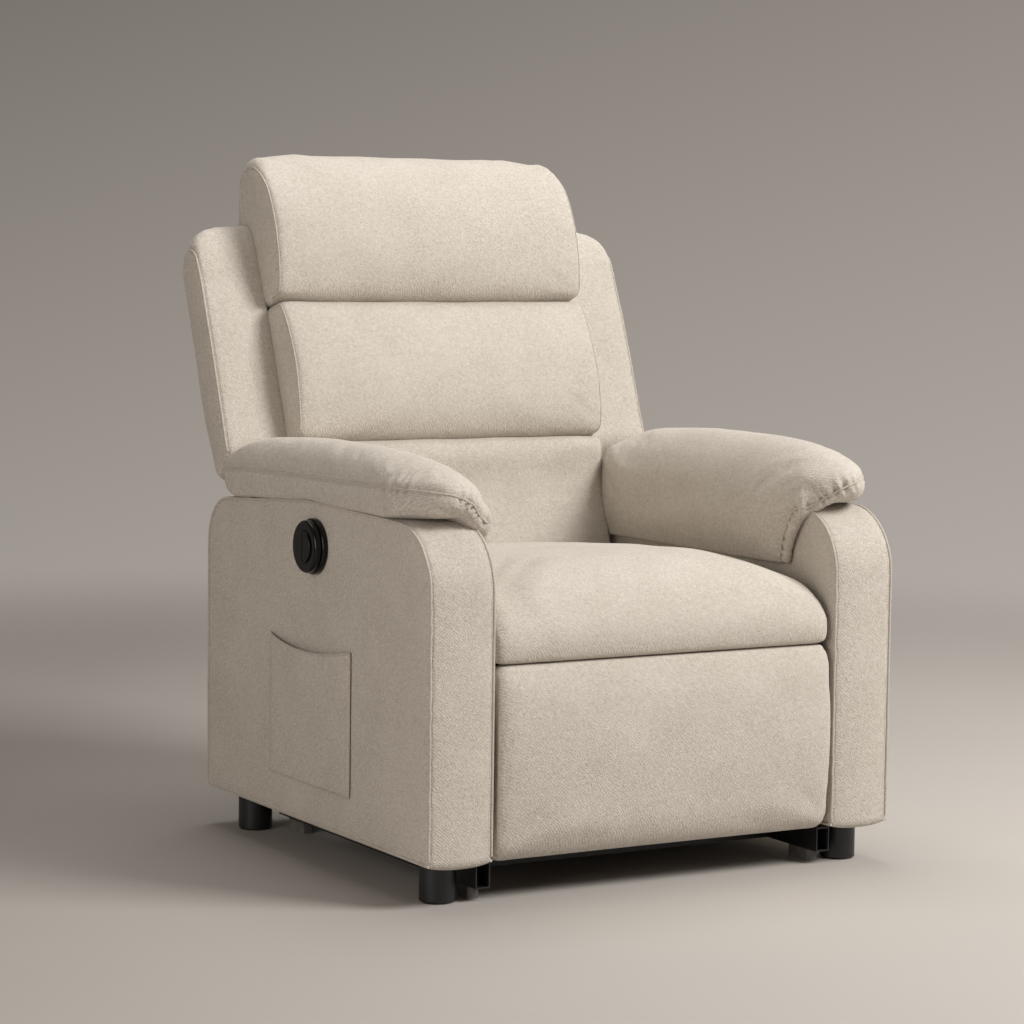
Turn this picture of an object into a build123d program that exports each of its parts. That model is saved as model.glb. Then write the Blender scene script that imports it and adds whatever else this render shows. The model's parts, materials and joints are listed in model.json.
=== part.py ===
from build123d import *
import math
import os

# A power lift recliner armchair, in millimetres, +Z up.
# Every piece is drawn with x = 0 on the chair's middle plane, y = 0 at the front of the arm boxes
# (y grows towards the back) and z = 0 on the floor. It is stored shifted by -DEPTH_CENTRE in y, so
# that the origin lies on the floor under the middle of the whole chair.
# Points of a side view are written (y, z); layers are written as distances |x| from the middle.

# ---- driving dimensions ---------------------------------------------------------------------
DEPTH_CENTRE = 418.0
CLEAR = 0.3                 # air between pieces that only lie against each other
PIN_FIT = 0.06              # radial clearance of a running pin
OPEN_PIN_FIT = 0.5          # radial clearance at the pivots that close a linkage loop

ARM_IN, ARM_OUT = 286.0, 390.0
ARM_BOTTOM, ARM_FRONT, ARM_REAR = 57.0, -8.0, 719.0
ARM_TOP_FRONT, ARM_TOP_MID, ARM_TOP_REAR = 526.0, 536.0, 514.0
ARM_CREST_Y = 370.0         # where the arm box's top is highest
ARM_FRONT_ROUND, ARM_REAR_ROUND = 96.0, 74.0
SKIN = 8.0                  # padded fabric skin of an arm box
SEAT_HALF = 274.0           # half width of the seat cushion and the footrest
BACK_HALF = 272.0           # half width of the back cushions
WING_OUT = 379.0
PAD_IN, PAD_OUT = 276.5, 398.0
PAD_GAP = 1.0               # between an arm pad and the box under it
RECLINE = math.radians(20.5)   # lean of the backrest at rest
BACK_FOOT = (591.0, 434.0)     # where the back cushion's front meets the seat

# lift linkage, pivots (y, z)
PIVOT_A, PIVOT_B = (155.8, 69.9), (209.8, 100.4)
PIVOT_C, PIVOT_D = (380.5, 80.0), (525.7, 133.4)
LIFT_ANGLE = 58.0
LEVER_HEIGHT = 116.0        # height of the slider pin above pivot A

# footrest linkage: two parallelograms, so every loop closes exactly
CRANK_PIVOT = (185.0, 306.0)
CRANK_ARM = (85.0, -192.0)
MAIN_LINK = (-194.0, 116.0)
GUIDE_SHARE = 0.332         # guide pivot's distance behind the crank joint, as a share of MAIN_LINK
UPPER_SHARE = 0.262         # upper link's joint, as a share of the crank measured from its joint
BACK_PIVOT = (606.0, 332.0)

CONTROL_YZ = (344.0, 470.0)
PIN_R, HEAD_R = 5.0, 8.0

# layers |x| of the flat links, from the middle outwards
LAYER_LUG = (212.0, 217.0)
LAYER_FRONT_LINK = (220.0, 225.0)
LAYER_REAR_LINK = (228.0, 233.0)
LAYER_EAR = (236.0, 241.0)
LAYER_BRACKET = (245.0, 249.0)
LAYER_MAIN = (252.0, 256.0)
LAYER_CRANK = (259.0, 263.0)
LAYER_PLATE = (266.0, 270.0)
LAYER_BACK_BRACKET = (258.5, 262.5)

CROSS_TUBES = ((420.0, 308.5), (560.0, 308.5))
CROSS_TUBE_R = 11.0
ARM_BOLTS = ((215.0, 300.0), (345.0, 312.0), (500.0, 322.0))


# ---- helpers ---------------------------------------------------------------------------------
def add(p, q, share=1.0):
    """Point p moved by a share of vector q."""
    return (p[0] + share * q[0], p[1] + share * q[1])


def back_point(along, behind):
    """A side-view point given along the back's lean and behind its front line."""
    y = BACK_FOOT[0] + along * math.sin(RECLINE) + behind * math.cos(RECLINE)
    z = BACK_FOOT[1] + along * math.cos(RECLINE) - behind * math.sin(RECLINE)
    return (y, z)


def save(name, *pieces):
    """Write one node: all its solids, moved to the stored origin."""
    solids = [s for piece in pieces for s in piece.solids()]
    moved = [Pos(0, -DEPTH_CENTRE, 0) * s for s in solids]
    shape = moved[0] if len(moved) == 1 else Compound(children=moved)
    export_step(shape, f"parts/{name}.step")


def block(x, y, z):
    """A box from three (low, high) pairs."""
    size = Box(x[1] - x[0], y[1] - y[0], z[1] - z[0])
    return Pos((x[0] + x[1]) / 2, (y[0] + y[1]) / 2, (z[0] + z[1]) / 2) * size


def bar(point, x, radius):
    """A cylinder along x through a side-view point."""
    rod = Cylinder(radius, x[1] - x[0], rotation=(0, 90, 0))
    return Pos((x[0] + x[1]) / 2, point[0], point[1]) * rod


def slab(face, x):
    """A face drawn in side view, extruded from x[0] to x[1]."""
    return Pos(x[0], 0, 0) * extrude(Plane.YZ * face, x[1] - x[0])


def outline(points):
    """A straight-sided face."""
    return make_face(Polyline(*points, close=True))


def soft_outline(points, flat=()):
    """A smooth face through the points, then straight along the flat points and closed."""
    curve = Spline(*points)
    rest = Polyline(points[-1], *flat, points[0])
    return make_face(curve + rest)


def both(shape):
    """A piece on the +x side and its mirror image."""
    return [shape, mirror(shape, about=Plane.YZ)]


def link(points, half_width, x, hole=PIN_R + PIN_FIT, holes=None):
    """A flat link: a round-ended strip through the points, with a hole at each."""
    strip = None
    for p, q in zip(points, points[1:]):
        length = math.hypot(q[0] - p[0], q[1] - p[1])
        angle = math.degrees(math.atan2(q[1] - p[1], q[0] - p[0]))
        middle = ((p[0] + q[0]) / 2, (p[1] + q[1]) / 2)
        piece = Pos(*middle) * Rot(0, 0, angle) * SlotCenterToCenter(length, 2 * half_width)
        strip = piece if strip is None else strip + piece
    plate = slab(strip, x)
    for index, p in enumerate(points):
        radius = holes[index] if holes else hole
        plate -= bar(p, (x[0] - 1, x[1] + 1), radius)
    return plate


def pin(point, x, heads=(True, True), head=1.6):
    """A headed pin whose shank and heads together span x."""
    body = bar(point, x, PIN_R)
    if heads[0]:
        body += bar(point, (x[0], x[0] + head), HEAD_R)
    if heads[1]:
        body += bar(point, (x[1] - head, x[1]), HEAD_R)
    return body


# ---- floor base ------------------------------------------------------------------------------
RAIL_X, RAIL_Z, RAIL_Y = (278.0, 301.0), (19.0, 55.0), (16.0, 640.0)
RAIL_WALL = 2.0
BAR_Z = (22.0, 52.0)
BAR_ROWS = ((130.0, 160.0), (343.0, 373.0), (590.0, 620.0))
SLIDER_Z = PIVOT_A[1] + LEVER_HEIGHT
LEVER_LEAN = math.radians(LIFT_ANGLE / 2)
SLIDER_Y = PIVOT_A[0] + LEVER_HEIGHT * math.tan(LEVER_LEAN)
TUBE_R = 12.0


def hollow_bar(x, y, z, axis):
    """A square tube, open at both ends along its axis."""
    grow = {axis: (-1.0, 1.0)}
    inner = []
    for name, (low, high) in (("x", x), ("y", y), ("z", z)):
        step = grow.get(name, (RAIL_WALL, -RAIL_WALL))
        inner.append((low + step[0], high + step[1]))
    return block(x, y, z) - block(*inner)


def base_frame():
    save("base_side_rails", *both(hollow_bar(RAIL_X, RAIL_Y, RAIL_Z, "y")))
    pads = []
    for y in ((42.0, 92.0), (560.0, 610.0)):
        pad = block((281.0, 299.0), y, (0.0, RAIL_Z[0]))
        pads += both(fillet(pad.edges().filter_by(Axis.Z), 3.0))
    save("base_foot_blocks", *pads)
    reach = RAIL_X[0]
    save("base_crossbars", *[hollow_bar((-reach, reach), y, BAR_Z, "x") for y in BAR_ROWS])
    front_low, front_high = BAR_ROWS[0]
    shape = outline([
        (front_low + 8, BAR_Z[1]), (front_high, BAR_Z[1]), (front_high, 24.0), (235.0, 24.0),
        (232.0, 100.0), (220.0, 113.0), (204.0, 114.0), (148.0, 86.0), (front_low + 8, 76.0),
    ])
    ear = slab(shape, LAYER_EAR)
    for pivot in (PIVOT_A, PIVOT_B):
        ear -= bar(pivot, (LAYER_EAR[0] - 1, LAYER_EAR[1] + 1), PIN_R + PIN_FIT)
    save("lift_ears", *both(ear))
    pins = both(pin(PIVOT_A, (220.2, 243.0), (False, True)))
    pins += both(pin(PIVOT_B, (226.2, 243.0)))
    save("lift_base_pins", *pins)


def lift_drive():
    rail_y, rail_z = (72.0, 330.0), (SLIDER_Z - 22.0, SLIDER_Z - 10.0)
    save("lift_guide_rail", block((-12.0, 12.0), rail_y, rail_z))
    front = block((-10.0, 10.0), (BAR_ROWS[0][0], BAR_ROWS[0][0] + 10), (BAR_Z[1], rail_z[0]))
    gear_z = (SLIDER_Z - 38.0, SLIDER_Z + 22.0)
    rear = block((14.0, 18.0), BAR_ROWS[1], (BAR_Z[1], gear_z[0]))
    save("lift_drive_brackets", front, *both(rear))
    gearbox = block((-30.0, 30.0), (330.0, 388.0), gear_z)
    save("lift_gearbox", fillet(gearbox.edges().filter_by(Axis.Y), 8.0))
    motor = Cylinder(29.0, 112.0, rotation=(90, 0, 0))
    motor = chamfer(motor.edges(), 3.0)
    save("lift_motor", Pos(0, 388.0 + 56.0, SLIDER_Z - 8.0) * motor)
    supply = block((60.0, 160.0), (480.0, BAR_ROWS[2][0]), (24.0, 66.0))
    save("power_supply", fillet(supply.edges().filter_by(Axis.Y), 5.0))
    inlet = block((160.0, 174.0), (520.0, 550.0), (34.0, 56.0))
    socket = block((163.0, 175.0), (524.0, 546.0), (38.0, 52.0))
    save("power_inlet", inlet - socket)
    slider = block((-18.0, 18.0), (SLIDER_Y - 22, SLIDER_Y + 22), (SLIDER_Z - 9.5, SLIDER_Z + 10))
    slider -= bar((SLIDER_Y, SLIDER_Z), (-19.0, 19.0), PIN_R + PIN_FIT)
    save("lift_slider", slider)
    save("lift_slider_pin", bar((SLIDER_Y, SLIDER_Z), (-32.0, 32.0), PIN_R))


def lift_linkage():
    save("lift_front_links", *both(link((PIVOT_A, PIVOT_C), 12.0, LAYER_FRONT_LINK)))
    save("lift_rear_links", *both(link((PIVOT_B, PIVOT_D), 11.0, LAYER_REAR_LINK,
                                       holes=(PIN_R + PIN_FIT, PIN_R + OPEN_PIN_FIT))))
    reach = LAYER_FRONT_LINK[0]
    tube = bar(PIVOT_A, (-reach, reach), TUBE_R) - bar(PIVOT_A, (-reach - 1, reach + 1), 9.5)
    save("lift_torque_tube", tube)
    # each lever leans back by half the lift angle, and its long slot takes the slider pin's
    # straight travel
    lean = (math.sin(LEVER_LEAN), math.cos(LEVER_LEAN))
    tip = add(PIVOT_A, lean, 134.0)
    lever = link((PIVOT_A, tip), 17.0, (22.0, 28.0), hole=0.5)
    lever += bar(PIVOT_A, (22.0, 28.0), 17.0)
    slot_half, slot_from, slot_to = 7.8, 114.0, 135.0
    angle = math.degrees(math.atan2(lean[1], lean[0]))
    middle = add(PIVOT_A, lean, (slot_from + slot_to) / 2)
    slot = Pos(*middle) * Rot(0, 0, angle) * SlotCenterToCenter(slot_to - slot_from, 2 * slot_half)
    lever -= slab(slot, (21.0, 29.0))
    lever -= bar(PIVOT_A, (21.0, 29.0), TUBE_R)
    save("lift_levers", *both(lever))


# ---- seat mechanism --------------------------------------------------------------------------
GUIDE_PIVOT = add(CRANK_PIVOT, MAIN_LINK, -GUIDE_SHARE)
CRANK_JOINT = add(CRANK_PIVOT, CRANK_ARM)
GUIDE_JOINT = add(GUIDE_PIVOT, CRANK_ARM)
REST_JOINT = add(CRANK_JOINT, MAIN_LINK)
UPPER_JOINT = add(CRANK_JOINT, CRANK_ARM, -UPPER_SHARE)
UPPER_REST_JOINT = add(REST_JOINT, CRANK_ARM, -UPPER_SHARE)
LINK_HALF = 9.5


def seat_mechanism():
    lug = outline([
        (366.0, 72.0), (374.0, 64.0), (390.0, 64.0), (538.0, 119.0), (544.0, 136.0),
        (576.0, 290.0), (576.0, 319.0), (404.0, 319.0), (400.0, 290.0), (366.0, 96.0),
    ])
    plate = slab(lug, LAYER_LUG)
    wide = (LAYER_LUG[0] - 1, LAYER_LUG[1] + 1)
    for pivot in (PIVOT_C, PIVOT_D):
        plate -= bar(pivot, wide, PIN_R + PIN_FIT)
    for tube in CROSS_TUBES:
        plate -= bar(tube, wide, CROSS_TUBE_R + PIN_FIT)
    save("mechanism_lug_plates", *both(plate))
    side = outline([
        (168.0, 292.0), (168.0, 320.0), (180.0, 329.0), (600.0, 349.0), (620.0, 347.0),
        (627.0, 336.0), (624.0, 318.0), (608.0, 306.0), (575.0, 290.0), (400.0, 290.0),
        (272.0, 252.0), (232.0, 252.0),
    ])
    plate = slab(side, LAYER_PLATE)
    wide = (LAYER_PLATE[0] - 1, LAYER_PLATE[1] + 1)
    for pivot in (CRANK_PIVOT, GUIDE_PIVOT, BACK_PIVOT):
        plate -= bar(pivot, wide, PIN_R + PIN_FIT)
    for bolt in ARM_BOLTS:
        plate -= bar(bolt, wide, BOLT_R + PIN_FIT)
    save("mechanism_side_plates", *both(plate))
    reach = LAYER_PLATE[0]
    tubes = [bar(t, (-reach, reach), CROSS_TUBE_R) - bar(t, (-reach - 1, reach + 1), 9.0)
             for t in CROSS_TUBES]
    save("mechanism_cross_tubes", *tubes)
    pins = both(pin(PIVOT_C, (210.2, 227.0))) + both(pin(PIVOT_D, (210.2, 235.2)))
    pins += both(pin(CRANK_PIVOT, (259.2, 272.0), (False, True)))
    pins += both(pin(GUIDE_PIVOT, (257.2, 272.0)))
    pins += both(pin(BACK_PIVOT, (258.6, 272.0), (False, True)))
    save("mechanism_pins", *pins)


def footrest_linkage():
    save("footrest_cranks",
         *both(link((CRANK_PIVOT, UPPER_JOINT, CRANK_JOINT), LINK_HALF, LAYER_CRANK)))
    reach = LAYER_CRANK[0]
    tube = bar(CRANK_PIVOT, (-reach, reach), 10.0) - bar(CRANK_PIVOT, (-reach - 1, reach + 1), 8.0)
    save("footrest_torque_tube", tube)
    pins = both(pin(CRANK_JOINT, (250.2, 264.8))) + both(pin(UPPER_JOINT, (250.2, 264.8)))
    save("footrest_crank_pins", *pins)
    save("footrest_main_links",
         *both(link((REST_JOINT, CRANK_JOINT, GUIDE_JOINT), LINK_HALF, LAYER_MAIN)))
    pins = both(pin(REST_JOINT, (243.2, 257.8))) + both(pin(GUIDE_JOINT, (250.2, 264.8)))
    save("footrest_main_pins", *pins)
    open_hole = PIN_R + OPEN_PIN_FIT
    save("footrest_guide_links",
         *both(link((GUIDE_PIVOT, GUIDE_JOINT), LINK_HALF, LAYER_CRANK,
                    holes=(PIN_R + PIN_FIT, open_hole))))
    save("footrest_upper_links",
         *both(link((UPPER_JOINT, UPPER_REST_JOINT), LINK_HALF, LAYER_MAIN,
                    holes=(PIN_R + PIN_FIT, open_hole))))


# ---- footrest panel --------------------------------------------------------------------------
FOOT_TOP, FOOT_BOTTOM = 331.0, 57.0
PAD_BACK, BOARD_BACK = 24.5, 36.5


def footrest_panel():
    front = [(4.0, FOOT_BOTTOM), (-12.0, 87.0), (-20.0, 140.0), (-22.0, 193.0), (-20.0, 252.0),
             (-12.0, 310.0), (0.0, FOOT_TOP)]
    pad = slab(soft_outline(front, [(PAD_BACK, FOOT_TOP), (PAD_BACK, FOOT_BOTTOM)]),
               (-SEAT_HALF, SEAT_HALF))
    save("footrest_pad", pad)
    board_y = (PAD_BACK, BOARD_BACK)
    board = block((-262.0, 262.0), board_y, (FOOT_BOTTOM + 6, FOOT_TOP - 6))
    save("footrest_board", board)
    arm = link((REST_JOINT, UPPER_REST_JOINT), LINK_HALF, LAYER_BRACKET, hole=PIN_R + PIN_FIT)
    foot = block(LAYER_BRACKET, (BOARD_BACK, 66.0), (205.0, 290.0))
    foot -= bar(REST_JOINT, (LAYER_BRACKET[0] - 1, LAYER_BRACKET[1] + 1), PIN_R + PIN_FIT)
    flange = block((225.0, LAYER_BRACKET[1]), (BOARD_BACK, BOARD_BACK + 4), (205.0, 290.0))
    bracket = arm + foot + flange
    wide = (LAYER_BRACKET[0] - 1, LAYER_BRACKET[1] + 1)
    bracket -= bar(REST_JOINT, wide, PIN_R + PIN_FIT)
    bracket += bar(UPPER_REST_JOINT, (LAYER_BRACKET[0], 257.8), PIN_R)
    bracket += bar(UPPER_REST_JOINT, (256.2, 257.8), HEAD_R)
    save("footrest_brackets", *both(bracket))


# ---- seat ------------------------------------------------------------------------------------
SEAT_RAIL_Z = (320.0, 344.0)
SPRING_WIRE, SPRING_WIDTH, SPRING_PITCH = 3.6, 44.0, 24.0


def seat():
    rails = [block((-240.0, 240.0), (40.0, 64.0), (302.0, SEAT_RAIL_Z[1])),
             block((-240.0, 240.0), (530.0, 555.0), SEAT_RAIL_Z)]
    rails += both(block((186.0, 206.0), (64.0, 530.0), SEAT_RAIL_Z))
    save("seat_frame", *rails)
    springs = []
    bends = 20
    for x in (-150.0, -75.0, 0.0, 75.0, 150.0):
        wave = []
        for i in range(bends + 1):
            y = 54.0 + i * SPRING_PITCH
            wave.append(Pos(x, y) * Rectangle(SPRING_WIDTH, SPRING_WIRE))
            if i < bends:
                side = SPRING_WIDTH / 2 * (1 if i % 2 else -1)
                corner = Pos(x + side, y + SPRING_PITCH / 2)
                wave.append(corner * Rectangle(SPRING_WIRE, SPRING_PITCH + SPRING_WIRE))
        flat = Sketch() + wave
        springs.append(Pos(0, 0, SEAT_RAIL_Z[1] + CLEAR) * extrude(flat, SPRING_WIRE))
    save("seat_springs", *springs)
    under = SEAT_RAIL_Z[1] + SPRING_WIRE + 3.0
    top = [(0.0, FOOT_TOP + 3), (-7.0, 368.0), (5.0, 410.0), (32.0, 449.0), (90.0, 464.0),
           (300.0, 455.0), (585.0, 434.0)]
    cushion = slab(soft_outline(top, [(563.0, under), (37.0, under), (37.0, FOOT_TOP + 3)]),
                   (-SEAT_HALF, SEAT_HALF))
    crown = make_face(ThreePointArc((-SEAT_HALF, 446.0), (0.0, 466.0), (SEAT_HALF, 446.0))
                      + Polyline((SEAT_HALF, 446.0), (SEAT_HALF, 300.0), (-SEAT_HALF, 300.0),
                                 (-SEAT_HALF, 446.0)))
    cushion &= Pos(0, 700.0, 0) * extrude(Plane.XZ * crown, 800.0)
    save("seat_cushion", cushion)


# ---- arms ------------------------------------------------------------------------------------
BOLT_R = 4.0
BOARD = 12.0
CONTROL_HOLE_R = 27.0


def arm_box(inset):
    """The arm box's outline in side view, drawn in by an inset, with round top corners."""
    points = [(ARM_FRONT + inset, ARM_BOTTOM), (ARM_FRONT + inset, ARM_TOP_FRONT - inset),
              (ARM_CREST_Y, ARM_TOP_MID - inset), (ARM_REAR - inset, ARM_TOP_REAR - inset),
              (ARM_REAR - inset, ARM_BOTTOM)]
    face = outline(points)
    front = [v for v in face.vertices() if v.Y > 400 and v.X < 100]
    face = fillet(front, ARM_FRONT_ROUND - inset)
    rear = [v for v in face.vertices() if v.Y > 400 and v.X > 700]
    return fillet(rear, ARM_REAR_ROUND - inset)


def arm_top(y):
    """Height of the arm box's top behind its front corner."""
    front_share = (y - ARM_FRONT) / (ARM_CREST_Y - ARM_FRONT)
    rear_share = (y - ARM_CREST_Y) / (ARM_REAR - ARM_CREST_Y)
    if y < ARM_CREST_Y:
        return ARM_TOP_FRONT + front_share * (ARM_TOP_MID - ARM_TOP_FRONT)
    return ARM_TOP_MID + rear_share * (ARM_TOP_REAR - ARM_TOP_MID)


def arm(side):
    """One arm: cover, inner boards and pad; side is +1 on the sitter's left, -1 on the right."""
    name = "left" if side > 0 else "right"
    cover = slab(arm_box(0.0), (ARM_IN, ARM_OUT))
    cover -= slab(arm_box(SKIN), (ARM_IN + SKIN, ARM_OUT - SKIN))
    inner = (ARM_IN + SKIN + 0.5, ARM_IN + SKIN + 0.5 + BOARD)
    outer = (ARM_OUT - SKIN - 0.5 - BOARD, ARM_OUT - SKIN - 0.5)
    board = outline([(6.0, 58.0), (6.0, 440.0), (95.0, 505.0), (640.0, 500.0), (706.0, 440.0),
                     (706.0, 58.0)])
    inner_board, outer_board = slab(board, inner), slab(board, outer)
    for bolt in ARM_BOLTS:
        hole = bar(bolt, (ARM_IN - 1, inner[1] + 1), BOLT_R + PIN_FIT)
        cover -= hole
        inner_board -= hole
    if side < 0:
        hole = bar(CONTROL_YZ, (outer[0] - 1, ARM_OUT + 1), CONTROL_HOLE_R)
        cover -= hole
        outer_board -= hole
    between = (inner[1], outer[0])
    frame = [inner_board, outer_board, block(between, (6.0, 706.0), (58.0, 80.0)),
             block(between, (12.0, 50.0), (80.0, 430.0)),
             block(between, (660.0, 700.0), (80.0, 430.0)),
             block((between[0], 350.0), (95.0, 640.0), (480.0, 499.0))]
    top = [(14.0, 546.0), (0.0, 552.0), (-6.0, 564.0), (0.0, 577.0), (37.0, 602.0),
           (123.0, 617.0), (244.0, 624.0), (369.0, 625.0), (502.0, 619.0), (605.0, 606.0),
           (640.0, 585.0), (645.0, 558.0), (636.0, 533.0)]
    pad_bottom = [(y, arm_top(y) + PAD_GAP) for y in (612.0, ARM_CREST_Y, 110.0)]
    pad_bottom += [(70.0, 541.0)]
    pad = slab(soft_outline(top, pad_bottom), (PAD_IN, PAD_OUT))
    crown = make_face(Spline((PAD_IN, 600.0), (300.0, 618.0), (337.0, 626.0), (375.0, 616.0),
                             (PAD_OUT, 590.0))
                      + Polyline((PAD_OUT, 590.0), (PAD_OUT, 440.0), (PAD_IN, 440.0),
                                 (PAD_IN, 600.0)))
    pad &= Pos(0, 700.0, 0) * extrude(Plane.XZ * crown, 800.0)
    nose = make_face(Spline((PAD_IN, 60.0), (284.0, 18.0), (302.0, -2.0), (322.0, -9.0),
                            (350.0, 2.0), (376.0, 30.0), (392.0, 64.0), (PAD_OUT, 105.0))
                     + Polyline((PAD_OUT, 105.0), (PAD_OUT, 700.0), (PAD_IN, 700.0),
                                (PAD_IN, 60.0)))
    pad &= Pos(0, 0, 400.0) * extrude(Plane.XY * nose, 300.0)
    flap = outline([(117.0, 468.0), (100.0, 500.0), (80.0, 524.0), (70.0, 546.0), (70.0, 560.0),
                    (580.0, 560.0), (575.0, 468.0)])
    pad += slab(flap, (PAD_IN, ARM_IN - CLEAR))
    for part, pieces in (("cover", [cover]), ("frame", frame), ("pad", [pad])):
        if side < 0:
            pieces = [mirror(p, about=Plane.YZ) for p in pieces]
        save(f"arm_{part}_{name}", *pieces)


def arm_hardware():
    bolts = []
    for point in ARM_BOLTS:
        bolt = bar(point, (263.6, 314.0), BOLT_R)
        bolt += bar(point, (263.6, 265.8), 7.0)
        bolt += bar(point, (LAYER_PLATE[1] + CLEAR, ARM_IN - CLEAR), 9.0)
        bolt += bar(point, (306.8, 312.0), 7.5)
        bolts += both(bolt)
    save("arm_bolts", *bolts)
    feet = []
    for y in (51.0, 640.0):
        foot = Pos(0, 0, ARM_BOTTOM / 2) * Cylinder(26.0, ARM_BOTTOM)
        foot = chamfer(foot.edges().group_by(Axis.Z)[0], 3.0)
        feet += both(Pos(342.0, y, 0) * foot)
    save("arm_feet", *feet)
    apron = block((-284.0, 284.0), (690.0, 702.0), (60.0, 334.0))
    save("rear_apron", fillet(apron.edges().filter_by(Axis.X), 4.0))


# ---- pocket and hand control on the sitter's right arm ---------------------------------------
POCKET_Y, POCKET_Z = (225.0, 485.0), (119.0, 328.0)
POCKET_DEPTH, POCKET_CLOTH = 9.0, 2.0


def pocket():
    near = -ARM_OUT - CLEAR
    far = near - POCKET_DEPTH
    low, high = POCKET_Y
    lip = ThreePointArc((low, POCKET_Z[1]), ((low + high) / 2, POCKET_Z[1] - 13.0),
                        (high, POCKET_Z[1]))
    edge = Polyline((high, POCKET_Z[1]), (high, POCKET_Z[0]), (low, POCKET_Z[0]),
                    (low, POCKET_Z[1]))
    panel = slab(make_face(lip + edge), (far - POCKET_CLOTH, far))
    strips = [block((far, near), (low, low + POCKET_CLOTH), (POCKET_Z[0], POCKET_Z[1] - 2)),
              block((far, near), (high - POCKET_CLOTH, high), (POCKET_Z[0], POCKET_Z[1] - 2)),
              block((far, near), (low + POCKET_CLOTH, high - POCKET_CLOTH),
                    (POCKET_Z[0], POCKET_Z[0] + POCKET_CLOTH))]
    save("side_pocket", panel, *strips)


BEZEL_FACE, BODY_BACK, BODY_FACE = 397.0, 399.0, 408.0
BEZEL_R, WAIST_R, BODY_R = 41.0, 33.0, 38.5
BUTTON_R, BUTTON_FACE, BUTTON_TRAVEL = 24.0, 410.5, 2.5
CUP_FLOOR = 393.5


def hand_control():
    y, z = CONTROL_YZ
    barrel_r = CONTROL_HOLE_R - 1.0
    bezel = bar(CONTROL_YZ, (-BEZEL_FACE, -ARM_OUT - CLEAR), BEZEL_R)
    bezel = fillet(bezel.edges().group_by(Axis.X)[0], 3.0)
    bezel -= bar(CONTROL_YZ, (-BEZEL_FACE - 1, -ARM_OUT + 1), WAIST_R + 0.2)
    save("control_bezel", bezel)
    body = bar(CONTROL_YZ, (-BODY_FACE, -BODY_BACK), BODY_R)
    body = fillet(body.edges().group_by(Axis.X)[0], 4.5)
    body += bar(CONTROL_YZ, (-BODY_BACK, -ARM_OUT - CLEAR), WAIST_R)
    body += bar(CONTROL_YZ, (-ARM_OUT - CLEAR, -362.0), barrel_r)
    body -= bar(CONTROL_YZ, (-BODY_FACE - 1, -CUP_FLOOR), BUTTON_R + 0.6)
    save("control_body", body)
    nut = bar(CONTROL_YZ, (-369.2, -363.0), 34.0)
    nut -= bar(CONTROL_YZ, (-370.0, -362.0), barrel_r + PIN_FIT)
    save("control_nut", nut)
    disc = bar(CONTROL_YZ, (-BUTTON_FACE, -CUP_FLOOR - BUTTON_TRAVEL - 0.5), BUTTON_R)
    disc = fillet(disc.edges().group_by(Axis.X)[0], 1.2)
    split = 0.9
    for name, sense in (("front", -1), ("rear", 1)):
        span = sorted((y + sense * split, y + sense * 40.0))
        half = disc & block((-BUTTON_FACE - 1, -380.0), span, (z - 40.0, z + 40.0))
        save(f"control_button_{name}", half)


# ---- backrest --------------------------------------------------------------------------------
POST_X, POST_T = (228.0, 258.0), (35.0, 75.0)
SEAM_LOW, SEAM_HIGH = 172.0, 403.0
SEAM_GAP = 0.75


def leaned(points):
    """Back-view coordinates (along, behind) turned into side-view points."""
    return [back_point(s, t) for s, t in points]


def leaned_block(x, along, behind):
    """A board that follows the back's lean."""
    corners = [(along[0], behind[0]), (along[1], behind[0]), (along[1], behind[1]),
               (along[0], behind[1])]
    return slab(outline(leaned(corners)), x)


def back_cushion(name, front, flat):
    face = soft_outline(leaned(front), leaned(flat))
    save(name, slab(face, (-BACK_HALF, BACK_HALF)))


def back_structure():
    posts = both(leaned_block(POST_X, (-95.0, 555.0), POST_T))
    rails = [leaned_block((-POST_X[0], POST_X[0]), along, POST_T)
             for along in ((-60.0, -20.0), (250.0, 290.0), (515.0, 555.0))]
    save("back_frame", *posts, *rails)
    straps = [leaned_block((-256.0, 256.0), (s, s + 50.0), (POST_T[0] - 2.0, POST_T[0] - 0.2))
              for s in (0.0, 80.0, 160.0, 310.0, 390.0, 460.0)]
    save("back_webbing", *straps)
    bracket = leaned_block(LAYER_BACK_BRACKET, (-80.0, 150.0), (40.0, 70.0))
    bracket += bar(BACK_PIVOT, LAYER_BACK_BRACKET, 16.0)
    wide = (LAYER_BACK_BRACKET[0] - 1, LAYER_BACK_BRACKET[1] + 1)
    bracket -= bar(BACK_PIVOT, wide, PIN_R + PIN_FIT)
    save("back_brackets", *both(bracket))
    panel = leaned_block((-BACK_HALF, BACK_HALF), (-75.0, 560.0), (76.0, 86.0))
    save("back_outer_panel", panel)


def back_cushions():
    rear = POST_T[0] - 3.0
    low, high = SEAM_LOW - SEAM_GAP, SEAM_HIGH - SEAM_GAP
    back_cushion("back_lower_cushion",
                 [(-60.0, 5.0), (0.0, 0.0), (60.0, -3.5), (100.0, -7.0), (148.0, -36.0),
                  (low, -24.0)],
                 [(low, rear), (-60.0, rear)])
    start = SEAM_LOW + SEAM_GAP
    back_cushion("back_middle_cushion",
                 [(start, -22.0), (200.0, -41.0), (270.0, -56.0), (330.0, -54.0), (370.0, -43.0),
                  (high, -30.0)],
                 [(high, rear), (start, rear)])
    start = SEAM_HIGH + SEAM_GAP
    back_cushion("back_head_cushion",
                 [(start, -30.0), (429.0, -47.0), (518.0, -63.0), (591.0, -48.0), (640.0, -20.0),
                  (656.0, 4.0), (650.0, 34.0), (632.0, 50.0), (562.0, 65.0)],
                 [(562.0, rear), (start, rear)])


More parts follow.
